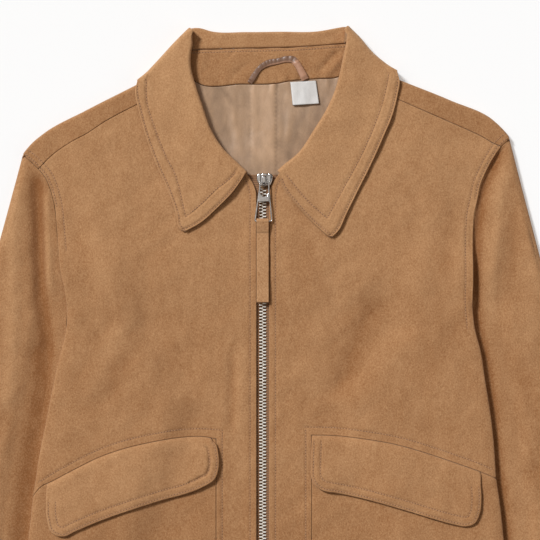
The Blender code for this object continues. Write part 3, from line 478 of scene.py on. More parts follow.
def grid_shell(grid, wall, edge, relief=0.0, roll=1.2, **shades):
    """Thickens a grid of middle points into a closed shell. The face looks along the cross
    product of the grid's two directions, and edge is each point's way to a free edge."""
    every = lambda values: np.broadcast_to(values, edge.shape).ravel()
    normal = unit(np.cross(np.gradient(grid, axis=0), np.gradient(grid, axis=1)))
    points, faces, kept = shell(grid.reshape(-1, 3), normal.reshape(-1, 3),
                                quads_on(*edge.shape), edge.ravel(), wall, every(roll),
                                every(relief))
    shades = {key: np.r_[every(value), every(value)[kept]] for key, value in shades.items()}
    return make_object(points, faces, **shades), *grid_size(grid)


def cloth_piece(outline, height, stitches=(), wall=WALL, cell=CLOTH_CELL, relief=None, roll=0.42):
    """A flat-cut piece laid at a height, with its stitching pressed in."""
    flat, faces, edge = cut_flat(outline, stitches, cell)
    z, nap = height(flat)
    groove = sewn(flat, stitches) + (relief(flat) if relief else 0)
    points, faces, kept = shell(raised(flat, z), UP, faces, edge, wall, roll, groove)
    # Painted shade: darker along the rim of each edge and in the stitch grooves; the height's tone
    # carries painted shade in the folds. Worn edges are paler.
    shades = {
        "worn": bell(edge, 1.6) * 0.4,
        "press": 0.2 * bell(edge, 0.5) + 0.55 * np.clip(-groove / VALLEY, 0, 1),
        "nap": nap + 0 * z,
    }
    shades = {key: np.r_[value, value[kept]] for key, value in shades.items()}
    return make_object(points, faces, **shades), *cut_size(outline)


# ---------------------------------------------------------------- the shell of the jacket


BODY_FOLDS = (
    (((-29, -246), (-30, -290), (-31, -334)), 4, 3.2, -1.7),
    (((-21, -246), (-21.5, -290), (-23, -328)), 5, 6, 0.8),
    (((104, -196), (90, -236), (76, -272), (66, -300)), 15, 8, -1.5),
    (((62, -190), (54, -240), (50, -290)), 12, 14, 0.5),
    (((-84, -130), (-96, -160), (-104, -190)), 13, 15, -0.3),
    (((-132, -200), (-156, -246), (-181, -290)), 5, 6, -0.6),
    (((-112, -232), (-132, -272), (-154, -312)), 5, 6, -0.65),
    (((-122, -214), (-144, -258), (-168, -302)), 4.5, 5, 0.55),
    (((-86, -250), (-98, -282), (-112, -316)), 6, 7, -0.4),
    (((-176, -120), (-170, -160), (-160, -196)), 9, 10, -0.7),
    (((-158, -130), (-148, -176), (-140, -210)), 10, 12, 0.5),
    (((178, -96), (172, -140), (168, -190)), 8, 9, -0.8),
    (((188, -120), (183, -160), (180, -205)), 5, 6, 0.7),
    (((186, -216), (168, -250), (146, -276)), 10, 12, -0.8),
    (((150, -120), (144, -160), (146, -200)), 10, 12, 0.5),
    (((-18, -110), (-24, -150), (-30, -200)), 8, 12, -0.6),
    (((30, -112), (36, -160), (34, -210)), 10, 8, -0.5),
    (((-10, -88), (-13, -98), (-14.5, -112)), 2.2, 2.6, -0.8),
    (((9, -90), (12, -99), (12.5, -112)), 2.4, 2.2, -0.8),
    (((-190, -470), (-150, -500), (-100, -520)), 22, 26, -0.9),
    (((190, -480), (150, -510), (96, -524)), 24, 22, -1.0),
    (((-120, -560), (-112, -610), (-116, -660)), 18, 24, -0.9),
    (((118, -540), (126, -600), (120, -655)), 20, 20, -0.9),
    (((-70, -480), (-76, -540), (-70, -600)), 20, 18, 0.7),
    (((70, -470), (66, -540), (74, -610)), 20, 18, 0.7),
)


def front_middle(side, points):
    """The height of the front's middle: over the back and the air in the jacket, coming
    down at the side seam and the hem in a quarter circle, with its folds and unevenness.
    With it comes a tone: painted shade in the folds' hollows and painted highlight on their
    ridges, darker towards the bottom, and a paler band beside the zip on the right."""
    x, y = points.T
    closed = mirrored(side.armhole[-2:] + side.edge + ((0, HEM_Y),), side)
    near = wall_share(nearest(points, closed)[0], EDGE_ROLL)
    folds = folds_at(points, BODY_FOLDS)
    soft = folds + 0.25 * waves(x, y, 46, 5) + 0.12 * waves(x, y, 17, 6)
    z = lift(x, y) + WALL * 1.5 + EDGE_LOFT + (LOFT - EDGE_LOFT) * near + soft * near
    nap = 0.24 * ease((y + 250) / 170) - 0.16 * ease((-350 - y) / 45)
    # Painted shade and highlight: the folds darken the tone in their troughs and lighten it on
    # their ridges.
    return z, 0.28 * folds + nap + 0.16 * bell(x + 25, 14) - 0.14


def zip_out(side):
    return side.sign * ZIP_X + ZIP_SLOT / 2


def outline_of(side, *lines):
    """The closed outline that a side's lines make, less half a seam gap all round."""
    outline = join_lines(*(curve(mirrored(rows, side)) for rows in lines))
    return shrink(outline)


def shrink(outline):
    """Takes half a seam gap off a closed outline."""
    if area_of(outline) < 0:
        outline = outline[::-1]
    edge = join(outline[-1:], outline, outline[:1])
    return outline + unit_left(edge)[1:-1] * SEAM_GAP / 2


def front_outline(side):
    start = side.armhole.index(side.seam[-1])
    above = tuple(row for row in side.edge if row[1] > side.pocket_seam[0][1])
    inner = zip_out(side)
    return outline_of(
        side,
        side.seam,
        side.armhole[start:] + above + side.pocket_seam[:1],
        side.pocket_seam,
        side.pocket_seam[-1:] + PANEL_SEAM,
        (PANEL_SEAM[-1], (inner, HEM_Y)),
        ((inner, HEM_Y), (inner, -108)),
        ((inner, -108), (inner + 0.4, -102), (inner + 2.4, -96), side.neckline[-1]),
        side.neckline[::-1],
    )


def lower_front_outline(side):
    below = tuple(row for row in side.edge if row[1] <= side.pocket_seam[0][1])
    return outline_of(side, side.pocket_seam, side.pocket_seam[-1:] + PANEL_SEAM,
                      (PANEL_SEAM[-1], (side.edge[-1][0], HEM_Y)), below[::-1])


def flap_outline(side):
    """The flap hangs from the pocket seam, so its top edge is a stretch of that seam."""
    seam = curve(mirrored(side.pocket_seam, side))
    out = np.abs(seam[:, 0])
    top = seam[(out < side.flap[-1][0] + 0.5) & (out > side.flap[0][0] - 0.5)]
    return shrink(join_lines(top, curve(join(top[-1:], mirrored(side.flap, side), top[:1]))))


def flap_middle(side):
    """The height and tone of a flap: it lies on the front, dips into its seam and stands
    prouder towards its inner end. Its tone keeps the front's painted shade in the folds."""
    seam = curve(mirrored(side.pocket_seam, side))

    def middle(flat):
        x, y = flat.T
        away = nearest(flat, seam)[0]
        dip = 1 - ease(away / 4.0)
        z, nap = front_middle(side, flat)
        proud = (1.2 + 1.3 * ease((88 - np.abs(x)) / 40)) * ease(away / 24)
        soft = 0.2 * waves(x, y, 40, 71 + side.sign) * (1 - dip)
        nap = nap + 0.16 * ease((-350 - y) / 45) + FLAP_NAP[side.name]
        return z + WALL + 0.5 - 1.5 * dip + proud + soft, nap

    return middle


# Topstitching, each row as (out, y).
SEAM_STITCH = dict(
    right=((209, -372), (194, -362.5), (174.8, -352), (155, -342.2), (135.6, -335), (116, -329.8),
           (96.4, -325.8), (76.8, -323.2), (58, -322.6), (38.5, -324)),
    left=((212, -360), (200.3, -354.6), (180.8, -347.6), (161.2, -340.9), (141.6, -334.6),
          (122, -329.4), (102.5, -325.8), (82.8, -323.2), (63.2, -321.5), (38.6, -321)),
)
STITCH_STEP = 1.4
HEM_STITCH_Y = HEM_Y + 14
FLAP_NAP = {"right": 0.24, "left": 0.03}
FLAP_START = {"right": (), "left": ((PANEL_SEAM_OUT, -331.0),)}
FLAP_ROWS = (2.3, 9.0)
CRESCENT_ROWS = 32
CRESCENT_DEPTH = {"right": 1.0, "left": 0.15}


def stitch_lines(side):
    """The topstitching of one front: beside the zip, armhole, shoulder and panel seams."""
    inner = zip_out(side)
    armhole = np.array(side.armhole, float)
    in_from_armhole = lambda way: armhole - unit_left(armhole) * way
    rows = dict(
        zip=((inner + 12.5, -88), (inner + 8.4, -95), (inner + 6.2, -104), (inner + 6.0, -115),
             (inner + 6.0, -130), (inner + 6.0, HEM_STITCH_Y)),
        pocket=SEAM_STITCH[side.name],
        panel=((PANEL_SEAM_OUT - 5.6, -324), (PANEL_SEAM_OUT - 5.6, HEM_STITCH_Y)),
        hem=((inner + 6.0, HEM_STITCH_Y), (side.edge[-1][0] - 5, HEM_STITCH_Y)),
        armhole=in_from_armhole(7.2)[:8 if side is RIGHT else None],
        shoulder=in_from_armhole(2.4)[:6],
    )
    return {name: curve(mirrored(line, side), STITCH_STEP) for name, line in rows.items()}


def flap_stitches(side):
    """Two rows of stitching round a flap's free edge, one beside it and one a finger in."""
    free = curve(FLAP_START[side.name] + side.flap, STITCH_STEP)
    rows = []
    for way in FLAP_ROWS:
        row = free + unit_left(free) * way
        row = row[nearest(row, free)[0] > 0.97 * way]
        rows.append(mirrored(curve(row[2:-2], STITCH_STEP), side))
    return rows


def stretches(line, on):
    """The runs of a line's rows for which a test holds, where they are long enough to sew."""
    cuts = np.flatnonzero(np.diff(on.astype(int))) + 1
    parts = zip(np.split(line, cuts), np.split(on, cuts))
    return [part for part, kept in parts if kept[0] and len(part) > 5]


def on_strip(side, lines, ring, back):
    """The armhole's stitching where it crosses the turned strip of the back."""
    fold = shoulder_line(side)
    made = []
    for key in ("armhole", "shoulder"):
        line = lines[key]
        below = np.interp(np.abs(line[:, 0]), *fold.T) + 1.5 > line[:, 1]
        on = below & ~inside(line, ring) & (np.arange(len(line)) < 30)
        made += [(part, back, 5.0) for part in stretches(line, on)]
    return made


def shoulder_line(side):
    """The line that the back turns on, as a smooth run of (out, y) rows."""
    return curve(side.shoulder, 1.2) - (0, SHOULDER_INSET)


def shoulder_end(side, out):
    """Where the turned cloth ends: at the forward seam, or at the armhole beyond it."""
    lines = curve(side.seam).T, np.transpose(side.armhole[3::-1])
    return np.maximum(*(np.interp(out, *line) for line in lines)) + SEAM_GAP / 2


def build_back():
    """The back is cut flat and folded over the shoulders: a point beyond the shoulder line
    goes round a half circle and then runs forward, level, to the forward seam."""
    half_turn = math.pi * TURN_RADIUS
    lines = [shoulder_line(side) for side in SIDES]
    halves, guides = [], []
    for side, line in zip(SIDES, lines):
        out, y = line.T
        over = 2 * y + half_turn - np.minimum(shoulder_end(side, out), y - 0.4)
        halves.append(mirrored(join(
            curve(side.edge[::-1])[:-1], curve(side.armhole[:0:-1])[:-1], line[-1:],
            points_of(out, over)[::-1], line[:1]), side))
        guides += [mirrored(curve(line, 1.5) + (0, share * half_turn), side)
                   for share in np.linspace(0, 1.12, 10)]
    outline = join(halves[0], curve(NECK_SEAM[1:-1]), halves[1][::-1])
    flat, faces, edge = cut_flat(outline, cell=5.0, guides=guides)
    x, w = flat.T
    fold_y = np.where(x < 0, *(np.interp(abs(x), *line.T) for line in lines))
    past = np.where(abs(x) > lines[0][0, 0] - 1, np.maximum(w - fold_y, 0), 0)
    angle = np.minimum(past / TURN_RADIUS, math.pi)
    ahead = np.maximum(past - half_turn, 0)
    y = np.minimum(w, np.where(past > 0, fold_y, w)) + TURN_RADIUS * np.sin(angle) - ahead
    z = lift(x, y) + WALL / 2 + TURN_RADIUS * (1 - np.cos(angle))
    z = z + 0.25 * waves(x, y, 30, 9) * ease(ahead / 4)
    normal = points_of(0, -np.sin(angle), np.cos(angle))
    points, faces, kept = shell(points_of(x, y, z), normal, faces, edge, WALL, 0.7)
    nap = -0.24 - 0.06 * np.sin(x / 23)
    return make_object(points, faces, nap=np.r_[nap, nap[kept]]), *cut_size(outline)


# ---------------------------------------------------------------- sleeves


SLEEVE_FOLDS = {
    "right": (
        (((-212, -80), (-210.5, -100), (-209.5, -125), (-209, -152), (-207, -199),
          (-202, -236), (-200, -262)), 5.5, 7, -4.8),
        (((-204, -236), (-202, -262), (-206, -300), (-214, -348), (-221, -400),
          (-226, -440), (-232, -520)), 5, 13, -4.4),
        (((-203, -100), (-202, -150), (-199, -200)), 4.5, 4.5, 1.6),
        (((-229, -90), (-232, -140), (-233, -190), (-234, -250), (-240, -310)), 6, 8, 1.3),
        (((-248, -150), (-252, -200), (-250, -260)), 8, 8, -0.7),
        (((-236, -300), (-252, -330), (-272, -350)), 8, 10, -0.8),
        (((-246, -398), (-276, -420), (-304, -426)), 10, 13, -1.2),
        (((-262, -470), (-300, -520), (-318, -580)), 14, 16, -1.2),
        (((-300, -560), (-318, -610), (-322, -650)), 16, 16, -0.9),
        (((-242, -400), (-262, -450), (-276, -500)), 18, 18, 0.8),
    ),
    "left": (
        (((225, -58), (216, -72), (210, -86), (205.5, -99), (202.5, -112), (200, -126),
          (198.6, -140), (198, -157), (197.5, -184), (197.5, -207), (201, -236), (205, -252),
          (213, -303), (219, -368), (226, -426), (231, -540)), 5.5, 4.0, -3.9),
        (((230, -72), (221, -100), (217, -140), (213, -180), (213, -230)), 6, 7, 1.4),
        (((236, -110), (232, -160), (228, -210)), 6, 7, -0.8),
        (((248, -140), (250, -200), (246, -260)), 8, 9, 0.7),
        (((226, -240), (250, -300), (268, -352)), 9, 10, -0.9),
        (((240, -350), (268, -372), (296, -380)), 9, 13, -1.1),
        (((252, -420), (282, -442), (310, -450)), 10, 14, -1.2),
        (((270, -490), (302, -540), (322, -600)), 15, 15, -1.2),
        (((248, -410), (268, -460), (284, -510)), 18, 18, 0.8),
    ),
}
RISE_OUT = 36.0
RISE = 14.0
SEAM_SLANT = 0.42
SEAM_DIP = {"right": 0.2, "left": 1.1}
SOFT_FROM = {"right": 3.0, "left": 1.2}
ROUND_ROWS = 6
ACROSS_ROWS = 58
OUTER_ROUND = 5.5
INNER_ROUND = 2.7
SLEEVE_WALL = 1.5


def sleeve_height(side, xy, away):
    """The top of a sleeve: lower where the body lies on it, rising outside it, full at the
    cap, and pulled down into the armhole seam. With it comes a tone: painted shade in the
    folds' troughs and painted highlight on their ridges."""
    x, y = np.moveaxis(xy, 2, 0)
    edge_out = out_at(side.armhole[-1:] + side.edge, y)
    tucked = ease((-175.0 - y) / 35.0) * ease((edge_out + RISE_OUT - np.abs(x)) / RISE)
    full = SLEEVE_TOP + (SLEEVE_TUCKED_TOP - SLEEVE_TOP) * tucked
    seam = -SEAM_DIP[side.name] * np.sqrt(1 - np.clip(away / 1.6, 0, 1)) * (1 - tucked)
    folds = folds_at(xy, SLEEVE_FOLDS[side.name])
    soft = folds + 0.3 * waves(x, y, 50, 21 + side.sign) + 0.13 * waves(x, y, 19, 31 + side.sign)
    soft = soft * (1 - np.where(soft < 0, 0.5, 0.9) * tucked)
    top = full + seam + soft * ease(away / SOFT_FROM[side.name])
    # Painted shade and highlight: the folds darken the tone in their troughs and lighten it on
    # their ridges.
    return top, np.clip(folds * 0.3, -0.85, 0.4) - 0.12


def build_sleeve(side):
    """A flattened tube: rings from the armhole to the cuff. Each ring runs over the top,
    round one edge in a quarter ellipse, back along the flat underside, and round the other."""
    head = curve(side.armhole + UNDERARM, at=np.linspace(0, 1, ACROSS_ROWS))
    across = ways(head) / ways(head)[-1]
    head = head + unit_left(head) * SEAM_GAP
    outer, inner = np.array((CUFF_OUTER, CUFF_INNER))
    cuff = outer + (inner - outer) * across[:, None]
    steps = np.r_[0, 0.5, 1.2, 2.2, 3.5, 5.5, np.arange(8, SLEEVE_REACH - 4, 4.6),
                  SLEEVE_REACH - np.array((2.5, 1.2, 0.4, 0))]
    down = (steps / SLEEVE_REACH)[:, None, None]
    bulge = np.sin(np.pi * np.clip(down / 0.5, 0, 1)) ** 2 * 1.5 * (1 - across[:, None])
    line = head * (1 - down) + cuff * down + bulge * (1, 0.2)
    turn = np.radians(np.linspace(0, 90, ROUND_ROWS, endpoint=False))
    width = np.linalg.norm(line[:, -1] - line[:, 0], axis=1)[:, None]
    drawn_in = (1 - np.cos(turn)) / width
    level = np.broadcast_to(across[1:-1], (len(width), ACROSS_ROWS - 2))
    u = np.sort(join(OUTER_ROUND * drawn_in, level, 1 - INNER_ROUND * drawn_in, axis=1), axis=1)
    rise = np.r_[np.sin(turn), np.ones(ACROSS_ROWS - 2), np.sin(turn)[::-1]]
    k = np.clip(np.searchsorted(across, u) - 1, 0, ACROSS_ROWS - 2)
    t = ((u - across[k]) / (across[k + 1] - across[k]))[..., None]
    n = np.arange(len(line))[:, None]
    xy = line[n, k] * (1 - t) + line[n, k + 1] * t
    away = np.linalg.norm(xy - head[k] * (1 - t) - head[k + 1] * t, axis=2)
    top, nap = sleeve_height(side, xy * (side.sign, 1), away * SEAM_SLANT)
    middle = top[:, :1] / 2 * (1 - u) + top[:, -1:] / 2 * u
    upper = raised(xy, middle + (top - middle) * rise)
    lower = raised(xy, middle * (1 - rise))[:, ::-1][:, 1:-1]
    rings = join(upper, lower, axis=1) * (side.sign, 1, 1)
    quads = quads_on(*rings.shape[:2], closed=True)[:, ::-side.sign]
    nap = join(nap, 0 * nap[:, 1:-1], axis=1)
    obj = make_object(rings.reshape(-1, 3), quads, nap=nap.ravel())
    wall = obj.modifiers.new("wall", "SOLIDIFY")
    wall.thickness, wall.offset = SLEEVE_WALL * MM, -1
    (_, girth), area = grid_size(join(rings, rings[:, :1], axis=1))
    return obj, (girth, SLEEVE_REACH * MM), area


# ---------------------------------------------------------------- collar


def coons(start, end, first, last, u, v):
    """Fills four border lines: start and end run across, first and last join their ends,
    at the shares u and v of their lengths."""
    u, v = np.asarray(u)[:, None, None], np.asarray(v)[None, :, None]
    across = (1 - u) * start[None] + u * end[None]
    along = (1 - v) * first[:, None] + v * last[:, None]
    corners = ((1 - u) * (1 - v) * start[0] + (1 - u) * v * start[-1]
               + u * (1 - v) * end[0] + u * v * end[-1])
    return across + along - corners


EDGE_STEPS = np.r_[0, 0.3, 0.8, 1.5, 2.3, 3.2, 4.4, 5.8, np.arange(7, 13, 0.9), 14]
FOLD_ANGLES = np.radians(np.linspace(90, -90, 15))
FOLD_FLATTEN = 0.55
FOLD_TAPER = 16.0
ARC = np.radians(np.linspace(0, 180, 11))[:, None]
BAND_STEPS = np.linspace(1, 0, 10)[:-1]


def from_edge(length):
    """Shares of a length, close together beside its first end."""
    return np.r_[EDGE_STEPS, np.arange(16.4, length + 1.2, 2.4)[:-1], length] / length


def fall_lines(xy, z, outward, over, radius=ROLL_RADIUS):
    """Lines across the fall: a half turn of the roll, then the cloth to the outer edge. The
    roll's middle is set back so that its outer face touches the roll line."""
    radius = np.broadcast_to(radius, (len(xy),))[:, None]
    outward = raised(np.broadcast_to(outward, (len(xy), 2)), 0)
    over = np.broadcast_to(over, outward.shape)
    centre = raised(xy[:, 0], z[:, 0]) - outward * (radius + WALL / 2) - over * radius
    turned = np.sin(ARC) * outward[:, None] - np.cos(ARC) * over[:, None]
    arc = turned * radius[:, None] + centre[:, None]
    return join(arc, raised(xy[:, 1:], z[:, 1:]), axis=1)


def roll_radius(way):
    """The roll is sharper near the collar's top corners."""
    return CORNER_RADIUS + (ROLL_RADIUS - CORNER_RADIUS) * ease(way / 30)


def round_tip(patch, radius=5.0):
    """Turns the leaf's sharp corner into a round one: a square at the corner is drawn onto
    a quarter disc, so the further into the corner a point lies the more it moves in."""
    tip = patch[0, -1]
    lower, outer = unit(patch[0, -9] - tip), unit(patch[9, -1] - tip)
    a, b = np.moveaxis((patch - tip) @ np.linalg.inv(np.array([outer, lower])), 2, 0)
    in_a, in_b = np.clip(radius - a, 0, radius), np.clip(radius - b, 0, radius)
    share = np.maximum(in_a, in_b) / np.maximum(np.hypot(in_a, in_b), 1e-9)
    share = np.where((in_a > 0) & (in_b > 0), share, 1)[..., None]
    return patch + (1 - share) * (in_a[..., None] * outer + in_b[..., None] * lower)


def leaf_lines(side, across):
    """The leaf that lies on one front, then the fold that turns it round the neck's side.
    It rests on the front at its outer edge and rises to its roll. The leaf's last four
    rows give way to the fold, which starts that far in."""
    leaf = side.leaf
    along = from_edge(LEAF_ROLL_LENGTH)
    patch = coons(curve(leaf.lower, at=across), curve(leaf.fold, at=across),
                  curve(leaf.roll, at=along), curve(leaf.outer, at=along), along, across)
    patch = mirrored(round_tip(patch), side)
    soft = 0.28 * waves(*np.moveaxis(patch, 2, 0), 34, 41 + side.sign)
    z = LEAF_REST + (LEAF_ROLL_HEIGHT - LEAF_REST) * (1 - ease(across / 0.78))
    z = z + soft * (0.4 + 0.6 * np.sin(np.pi * across))
    fold, radius = patch[-1], (z[-1] - FALL_LOW) / 2
    run = unit(fold[0] - fold[-1])
    to_fold = LEAF_ROLL_LENGTH * (1 - along)
    turned = ease(1 - to_fold / 45)[:, None]
    inward = unit(unit_left(patch[:, 0]) * side.sign * (1 - turned) + run * turned)
    flat = slice(0, -4)
    leaves = fall_lines(patch[flat], z[flat], inward[flat], UP, roll_radius(to_fold[flat]))
    out = np.array((run[1], -run[0])) * side.sign
    angle = FOLD_ANGLES[:, None]
    push = FOLD_FLATTEN * radius * (np.cos(angle) - 1) - WALL / 2
    push = push * ease((1 - across) * LEAF_DEPTH / FOLD_TAPER)
    folds = fall_lines(fold + out * push[..., None], FALL_LOW + radius * (1 + np.sin(angle)),
                       run, raised(out * np.cos(angle), np.sin(angle[:, 0])), CORNER_RADIUS)
    return leaves, folds


LEAF_STITCH = {
    "right": ((109.4, 1.6), (108.8, -17.4), (101.2, -43.3), (91.6, -67.9), (82.1, -87),
              (75.3, -114.2), (72.5, -125.2), (57.7, -112.9), (45.2, -100.6), (30.2, -88.4),
              (22.2, -78)),
    "left": ((116, 8.6), (111.6, -13.3), (103.5, -37.9), (89.8, -69.2), (73.5, -99.2),
             (58.6, -126.5), (44.6, -114.4), (31.6, -100.4), (20.3, -85.6)),
}
LEAF_CORNER = {"right": 6, "left": 5}
EDGE_STITCH = 2.3


def leaf_stitches(side):
    """The two rows of topstitching on a leaf, one close to its edge and one further in,
    each as a run down the outer edge and a run up the lower edge."""
    rows, corner = LEAF_STITCH[side.name], LEAF_CORNER[side.name]
    inner = [curve(part, STITCH_STEP) for part in (rows[:corner + 1], rows[corner:])]
    edge = [curve(part, STITCH_STEP) for part in (side.leaf.outer[:-1], side.leaf.lower)]
    edge = [line + unit_left(line) * EDGE_STITCH for line in edge]
    return [mirrored(line, side) for line in inner + edge]


def build_fall():
    """The fall: two leaves on top, joined round the neck's sides by the part that lies
    behind, and rolled over along its inner line down to the stand."""
    across = 1 - from_edge(LEAF_DEPTH)[::-1]
    across = np.r_[0, across[across > 0.075]]
    (right, right_fold), (left, left_fold) = (leaf_lines(side, across) for side in SIDES)
    u = np.linspace(0, 1, 64)
    ends = [curve(mirrored(side.leaf.fold, side), at=across) for side in SIDES]
    behind = coons(*ends, curve(COLLAR_TOP, at=u), curve(FALL_HIDDEN_EDGE, at=u), u, across)[1:-1]
    middle = fall_lines(behind, np.full(behind.shape[:2], FALL_LOW), (0.0, 1.0), -UP,
                        roll_radius(150.0 * np.minimum(u, 1 - u)[1:-1]))
    grid = join(right, right_fold, middle, left_fold[::-1], left[::-1])
    first = grid[:, 0]
    reach = first + unit(first - grid[:, 5]) * 6.0
    start, end = len(right), len(grid) - len(left)
    spread = np.interp(np.arange(len(grid)), (start, start + 15, end - 15, end - 1),
                       (1.4, 0, 0, -1.4))
    seam_x = first[:, 0] + spread
    seam_y = np.interp(seam_x, *curve(STAND_TOP).T) - 0.1
    reach[start:end] = points_of(seam_x, seam_y, BAND_HEIGHT + 0.15)[start:end]
    band = first[:, None] + (reach - first)[:, None] * BAND_STEPS[:, None]
    grid = join(band, grid, axis=1)
    edge = way_in(grid)
    relief = 0 * edge
    flat_from = len(BAND_STEPS) + len(ARC)
    for side, part in zip(SIDES, (slice(0, start), slice(end, None))):
        relief[part, flat_from:] = sewn(grid[part, flat_from:, :2], leaf_stitches(side), 0.8, 1.3)
    past_band = np.arange(grid.shape[1]) - len(BAND_STEPS)
    row = np.arange(len(grid))[:, None]
    # Painted shade: darker in the leaves' stitch grooves and along their lower edges, the grid's
    # first and last rows.
    press = 0.5 * np.clip(-relief, 0, 1) + 0.9 * ease(1 - np.minimum(row, row[::-1]) / 3)
    return grid_shell(grid, 1.9, edge, relief, np.where(past_band < 0, 0.4, 1.3),
                      worn=0.8 * bell(edge, 1.4), nap=0.38 * ease(past_band / 8), press=press)


STAND_FOLDS = (
    (((50, 8), (60, 20), (70, 30)), 3, 4, -1.2),
    (((60, 8), (68, 18), (76, 28)), 3, 3, 0.9),
    (((-58, 6), (-52, 16), (-50, 28)), 4, 4, -0.7),
    (((-30, 4), (-22, 12), (-10, 20)), 3, 4, -0.5),
    (((6, 26), (14, 30.5), (22, 30)), 2, 2.5, -0.5),
    (((-34, 22), (-27, 29), (-24, 31)), 1.6, 1.2, -0.7),
)


def stand_stitches():
    return curve(STAND_TOP, STITCH_STEP) - (0, 2.8)


def build_stand():
    """The stand: a band between the neck seam and the fall's seam, drawn in beside both."""
    rows = np.linspace(0, 1, 30)[:, None]
    count = np.linspace(0, 1, 110)
    lower = curve(NECK_SEAM[1:-1], at=count) + (0, SEAM_GAP)
    upper = curve(STAND_TOP, at=count) - (0, SEAM_GAP)
    flat = lower + (upper - lower) * rows[..., None]
    low = COLLAR_LIFT + WALL + 0.5
    x, y = np.moveaxis(flat, 2, 0)
    z = low + (BAND_HEIGHT - low) * rows + 0.5 * np.sin(np.pi * rows)
    z = z + bell(rows, 0.25) * 0.35 * waves(x, y * 0.25, 9, 51) + 0.2 * waves(x, y, 24, 52)
    grid = raised(flat, z + folds_at(flat, STAND_FOLDS, 6))[::-1]
    relief = sewn(grid[..., :2], [stand_stitches()], 0.35)
    return grid_shell(grid, 1.8, way_in(grid), relief, 0.7, nap=-0.2)


# ---------------------------------------------------------------- lining and trims


LINING_EDGE = ((-84, -10), (-76, -40), (-64, -68), (-45, -88), (-20, -96), (22, -96),
               (48, -88), (66, -66), (78, -40), (84, -12))
PLEAT = 11.5
LINING_FOLDS = (
    (((-44, -2), (-40, -30), (-30, -62)), 4, 6, -0.8),
    (((-30, -3), (-28, -34), (-22, -70)), 3, 5, 0.6),
    (((-58, -6), (-54, -28), (-44, -56)), 5, 4, 0.7),
    (((40, -24), (30, -46), (22, -76)), 3, 5, -1.0),
    (((-50, 0), (-34, -12), (-26, -26)), 2.5, 3.5, -0.9),
    (((22, -4), (24, -30), (20, -60)), 4, 3, 0.5),
    (((56, -6), (50, -34), (38, -62)), 4, 5, -0.7),
    (((-6, -4), (-5, -34), (-7, -76)), 2.5, 2.5, -0.35),
    (((4, -4), (5, -30), (3, -70)), 2.5, 3, 0.3),
)


def lining_middle(points):
    """The lining lies on the back. Its centre pleat stands up as a flat band, and it falls
    in soft folds down from the neck. Its tone is painted: a highlight on the pleat, shade in
    the folds' troughs and light on their ridges, and a shadow just right of the pleat."""
    x, y = points.T
    pleat = ease((PLEAT + 0.5 - np.abs(x + 0.5)) / 1.0) * ease((y + 84) / 20)
    soft = folds_at(points, LINING_FOLDS, 12) + 0.12 * waves(x, y * 0.4, 8, 61)
    soft = soft + 0.4 * bell(y - 1, 7) * waves(x, 0 * y, 6, 62)
    z = lift(x, y) + WALL + LAYER_GAP + TRIM_WALL / 2 + 0.7 * pleat + np.maximum(soft, -0.1)
    # Painted light in the tone: a highlight on the raised pleat, shade in fold troughs and light
    # on ridges, and a dark line as the pleat's shadow on its right.
    return z, 0.42 * pleat - 0.5 + 0.4 * soft - 0.6 * bell(x - 11.6, 0.7)


def build_lining():
    below = (NECK_SEAM[-2],) + LINING_EDGE[::-1] + (NECK_SEAM[1],)
    outline = join_lines(curve(NECK_SEAM[1:-1]), curve(below))
    sides = [curve(((x, 0), (x, -84))) for x in (-PLEAT - 0.5, PLEAT - 0.5)]
    return cloth_piece(outline, lining_middle, wall=0.8, cell=2.4, roll=0.5,
                       relief=lambda flat: sewn(flat, sides, 0.35, 0.6))


def build_loop():
    """The hanger loop: a satin tube pressed flat along its path, ruched across. Past its
    bend it shows its other, paler face."""
    along, across = np.linspace(0, 1, 160)[:, None], np.linspace(-1, 1, 15)
    path = curve(HANGER_LOOP, at=along[:, 0])
    half = LOOP_WIDTH / 2 * (0.76 + 0.3 * along + 0.06 * np.sin(along * 21))
    flat = path[:, None] + unit_left(path)[:, None] * (across * half)[..., None]
    turned = ease((along - 0.7) / 0.05)
    ruche = (0.3 - 0.2 * turned) * np.sin(along * 110 + 2.5 * np.sin(along * 17))
    ruche = ruche * (0.4 + 0.6 * across) + 0.9 * turned * (1 - across**2)
    ends = ease(np.minimum(along, 1 - along) / 0.06)
    grid = raised(flat, BAND_HEIGHT + 1.0 + 1.3 * ends * (1 - 0.35 * across**2) + ruche)[:, ::-1]
    under = ease((-across - 0.3) / 0.25) * bell(along - 0.5, 0.22)
    # The tone: the paler turned face, a paler strip along one side of the middle, and painted
    # light on the ruching, lighter on its crests and darker in its troughs.
    nap = 1.9 * turned - 0.85 + 0.3 * ruche + 1.6 * under
    return grid_shell(grid, 1.0, way_in(grid), roll=0.6, nap=nap[:, ::-1])


def build_label():
    """The size label: a bare satin tab sewn along its top, its free end a little raised."""
    top_right, top_left, end_left, end_right = LABEL_CORNERS
    t, u = np.linspace(0, 1, 26)[:, None], np.linspace(0, 1, 30)
    top = top_right + (top_left - top_right) * u[:, None]
    end = end_right + (end_left - end_right) * u[:, None]
    z = COLLAR_LIFT + WALL + LAYER_GAP + TRIM_WALL + 1.0 + 0.9 * t**1.5
    z = z + 0.5 * t * np.sin(u * 4.2 + 0.5) + 0.15 * np.sin(u * 11 + t * 3)
    grid = raised(top + (end - top) * t[..., None], z)
    return grid_shell(grid[:, ::-1], 0.5, way_in(grid), roll=0.25)


# ---------------------------------------------------------------- zip


HINGE = (0.2, -93.5, 12.8)
CHAIN_WIDTH = 6.6
CHAIN_TOP_Y = -98.5
CHAIN_END_Y = HEM_Y + 26.0
CHAIN_LOW = WALL + 2 * LAYER_GAP
TAPE_WIDTH = 11.0
TAPE_END_Y = HEM_Y + 20.0
TOOTH_PITCH = 3.0
PULL_END = -35.9
BAR = 1.5
PLATE_LOW = 10.1
PLATE_THICK = 1.6
PLATE_TOP = PLATE_LOW + PLATE_THICK

